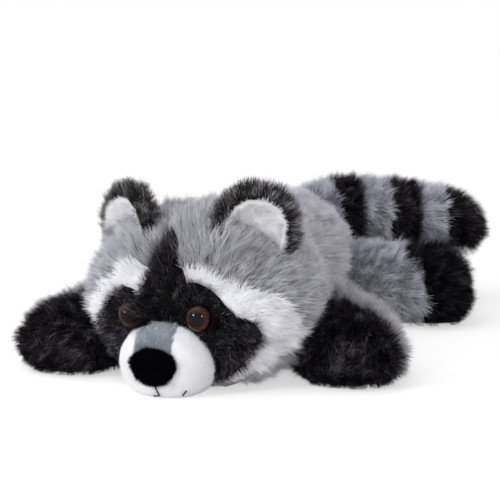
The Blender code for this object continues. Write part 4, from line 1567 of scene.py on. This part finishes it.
@dataclass
class BodyFur:
    """Torso, arms, legs and tail, each combed along its own line."""

    torso_run: tuple[float, float, float] = (0.0, 1.0, -0.15)
    side_fall: float = 6.0
    # the left side's arm and leg roots, which the right side mirrors
    arm_root: tuple[float, float, float] = (0.022, -0.024, 0.02)
    leg_root: tuple[float, float, float] = (0.020, 0.084, 0.03)
    beyond: float = 0.9
    rings: tuple[str, ...] = (
        "tail_ring_1_grey",
        "tail_ring_2_black",
        "tail_ring_3_grey",
        "tail_ring_4_black",
        "tail_ring_5_grey",
        "tail_tip",
    )

    def torso_comb(self, places: Array) -> Array:
        """Towards the rump, and down the sides.

        Args:
            places: Places on the torso.

        Returns:
            The combed direction at each.
        """
        run = np.tile(np.array(self.torso_run), (len(places), 1))
        run[:, 2] -= np.abs(places[:, 0]) * self.side_fall
        return run

    def limb(self, root: tuple[float, float, float], sign: int, upper: str, end: str) -> Lane:
        """The line of an arm or leg from its root through its two cloths.

        Args:
            root: The left limb's root.
            sign: 1 for the left side and -1 for the right.
            upper: The cloth next to the torso.
            end: The paw or foot.

        Returns:
            The lane that its hairs are combed along.
        """
        start = (sign * root[0], root[1], root[2])
        middle, last = box_middle(upper), box_middle(end)
        further = last + (last - middle) * self.beyond
        return Lane((start, tuple(middle), tuple(last), tuple(further)))

    def side_panels(self, side: str, sign: int, seed: int) -> list[Panel]:
        """The arm and the leg of one side.

        Args:
            side: The side's name.
            sign: 1 for the left side and -1 for the right.
            seed: The first panel's seed.

        Returns:
            Sleeve, paw, thigh and foot.
        """
        sleeve, paw = f"arm_sleeve_{side}", f"paw_{side}"
        thigh, foot = f"thigh_{side}", f"foot_{side}"
        arm = self.limb(self.arm_root, sign, sleeve, paw)
        leg = self.limb(self.leg_root, sign, thigh, foot)
        seam = LapSeam(thigh, foot)
        laps = ((thigh, seam.past),)
        return [
            Panel(sleeve, PALE_PILE, arm, seed=seed),
            Panel(paw, BLACK_PILE, arm, seed=seed + 10),
            # the thigh takes the lighter grey with painted light
            Panel(thigh, THIGH_GREY_PAINTED_LIGHT, leg, seam.short, LIMB_PILE, seed=seed + 20),
            # the foot takes the darker black with painted shade
            Panel(foot, LEG_BLACK_PAINTED_SHADE, leg, pile=LIMB_PILE, seed=seed + 30, laps=laps),
        ]

    def tail_panels(self) -> list[Panel]:
        """The tail's rings and tip, combed along the tail."""
        middles = [box_middle(ring) for ring in self.rings]
        after = middles[-1] + (middles[-1] - middles[-2])
        lane = Lane(tuple(tuple(point) for point in (*middles, after)))
        finishes = [LIMB_GREY if "grey" in ring else TAIL_BLACK for ring in self.rings]
        return [
            Panel(ring, finish, lane, pile=TAIL_PILE, seed=701 + 10 * index)
            for index, (ring, finish) in enumerate(zip(self.rings, finishes))
        ]

    def build(self, solids: Solids) -> None:
        """Makes every fur panel behind the head.

        Args:
            solids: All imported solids.
        """
        panels = [
            Panel("torso_back", PALE_PILE, self.torso_comb, seed=401),
            Panel("torso_belly", PALE_PILE, self.torso_comb, seed=411),
            *self.side_panels("left", 1, 501),
            *self.side_panels("right", -1, 601),
            *self.tail_panels(),
        ]
        for panel in panels:
            panel.build(solids)


# Studio


@dataclass(frozen=True)
class SoftBox:
    """A square lamp that lights the toy's front and shows in its eyes."""

    name: str
    place: tuple[float, float, float]
    size: float
    power: float

    def build(self, aim: Vector) -> None:
        """Sets the lamp up.

        Args:
            aim: The point that it faces.
        """
        lamp = bpy.data.lights.new(self.name, "AREA")
        lamp.energy = self.power
        lamp.size = self.size
        obj = bpy.data.objects.new(self.name, lamp)
        obj.location = self.place
        obj.rotation_euler = (Vector(self.place) - aim).to_track_quat("Z", "Y").to_euler()
        bpy.context.scene.collection.objects.link(obj)


@dataclass
class Studio:
    """Pale floor, soft even light and the photograph's camera."""

    floor_size: float = 8.0
    floor_lit: float = 0.80
    floor_seen: float = 0.55
    glow: float = 0.56
    world_level: float = 0.55
    top_level: float = 0.30
    top_angle: float = math.radians(60)
    top_direction: tuple[float, float, float] = (-0.55, -0.45, 1.10)
    soft_boxes: tuple[SoftBox, SoftBox] = (
        SoftBox("soft_box_left", (-0.97, -1.29, 0.60), 0.25, 10.5),
        SoftBox("soft_box_right", (0.71, -1.47, 0.60), 0.20, 6.3),
    )
    face: tuple[float, float, float] = (0.0, -0.14, 0.05)
    azimuth: float = math.radians(17)
    elevation: float = math.radians(11)
    distance: float = 1.25
    target: tuple[float, float, float] = (0.0, 0.0, 0.06)
    lens: float = 136.4
    sensor: float = 36.0
    clip_end: float = 50.0

    def floor(self) -> None:
        """A matt floor that looks white to the camera and keeps the toy's shadow."""
        bpy.ops.object.select_all(action="DESELECT")
        bpy.ops.mesh.primitive_plane_add(size=self.floor_size, location=(0, 0, 0))
        plane = bpy.context.active_object
        plane.name = plane.data.name = "floor"
        nodes = Nodes("floor_paper")
        path = nodes.add("ShaderNodeLightPath")
        seen = nodes.maths("MAXIMUM", path.outputs["Is Camera Ray"], path.outputs["Is Glossy Ray"])
        seen = nodes.maths("MAXIMUM", seen, path.outputs["Is Transmission Ray"])
        mix = nodes.add("ShaderNodeMix", data_type="RGBA")
        nodes.link(seen, mix.inputs["Factor"])
        mix.inputs["A"].default_value = (*[self.floor_lit] * 3, 1)
        mix.inputs["B"].default_value = (*[self.floor_seen] * 3, 1)
        matt = nodes.add("ShaderNodeBsdfDiffuse")
        nodes.link(mix.outputs["Result"], matt.inputs["Color"])
        paper = nodes.add("ShaderNodeEmission")
        nodes.link(nodes.maths("MULTIPLY", seen, self.glow), paper.inputs["Strength"])
        both = nodes.add("ShaderNodeAddShader")
        nodes.link(matt.outputs[0], both.inputs[0])
        nodes.link(paper.outputs[0], both.inputs[1])
        nodes.link(both.outputs[0], nodes.tree.nodes["Material Output"].inputs["Surface"])
        plane.data.materials.append(nodes.material)

    def world(self) -> None:
        """Even light from all round, white where the camera sees it."""
        world = bpy.data.worlds.new("studio")
        bpy.context.scene.world = world
        world.use_nodes = True
        tree = world.node_tree
        ground = tree.nodes["Background"]
        ground.inputs["Color"].default_value = (1, 1, 1, 1)
        path = tree.nodes.new("ShaderNodeLightPath")
        seen = path.outputs["Is Camera Ray"]
        for kind in ("Is Glossy Ray", "Is Transmission Ray"):
            either = tree.nodes.new("ShaderNodeMath")
            either.operation = "MAXIMUM"
            tree.links.new(seen, either.inputs[0])
            tree.links.new(path.outputs[kind], either.inputs[1])
            seen = either.outputs[0]
        level = tree.nodes.new("ShaderNodeMapRange")
        level.inputs["To Min"].default_value = self.world_level
        level.inputs["To Max"].default_value = 1.0
        tree.links.new(seen, level.inputs["Value"])
        tree.links.new(level.outputs["Result"], ground.inputs["Strength"])

    def top_light(self) -> None:
        """A wide lamp without falloff: its level is how bright it makes a square white surface."""
        lamp = bpy.data.lights.new("top_light", "SUN")
        lamp.energy = self.top_level * math.pi
        lamp.angle = self.top_angle
        obj = bpy.data.objects.new("top_light", lamp)
        obj.rotation_euler = Vector(self.top_direction).to_track_quat("Z", "Y").to_euler()
        bpy.context.scene.collection.objects.link(obj)

    def camera(self) -> None:
        """The photograph's view of a square picture."""
        data = bpy.data.cameras.new("camera")
        data.lens = self.lens
        data.sensor_width = self.sensor
        data.clip_end = self.clip_end
        obj = bpy.data.objects.new("camera", data)
        level = math.cos(self.elevation)
        across, ahead = math.sin(self.azimuth) * level, math.cos(self.azimuth) * level
        back = Vector((across, -ahead, math.sin(self.elevation)))
        obj.location = Vector(self.target) + back * self.distance
        obj.rotation_euler = back.to_track_quat("Z", "Y").to_euler()
        bpy.context.scene.collection.objects.link(obj)
        bpy.context.scene.camera = obj

    def build(self) -> None:
        """Sets up the floor, the light and the camera."""
        self.floor()
        self.world()
        self.top_light()
        for box in self.soft_boxes:
            box.build(Vector(self.face))
        self.camera()
        bpy.context.scene.view_settings.view_transform = "Standard"


class HiddenFinish(Enum):
    """Finishes of the CAD nodes that stay, inside the toy."""

    STUFFING = FILLING
    WASHER = WASHER


def dress_hidden_nodes() -> None:
    """Gives the fillings and washers inside the toy their finishes."""
    for name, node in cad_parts.items():
        if "stuffing" in name or "washer" in name:
            kind = HiddenFinish.STUFFING if "stuffing" in name else HiddenFinish.WASHER
            node.data.materials.clear()
            node.data.materials.append(kind.value.material())


def main() -> None:
    """Builds the toy and its studio."""
    logging.basicConfig(level=logging.INFO, format="%(message)s")
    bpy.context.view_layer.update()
    solids = Solids(sorted(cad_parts))
    head = HeadFrame()
    eyes = [Eye(name).build() for name in ("eye_left", "eye_right")]
    HeadFur(head, eyes=eyes).build(solids)
    EarFur().build(solids)
    surface = Muzzle(head).build()
    Nose(head).build()
    Mouth(head).build(surface)
    BodyFur().build(solids)
    dress_hidden_nodes()
    Studio().build()


if __name__ == "__main__":
    main()
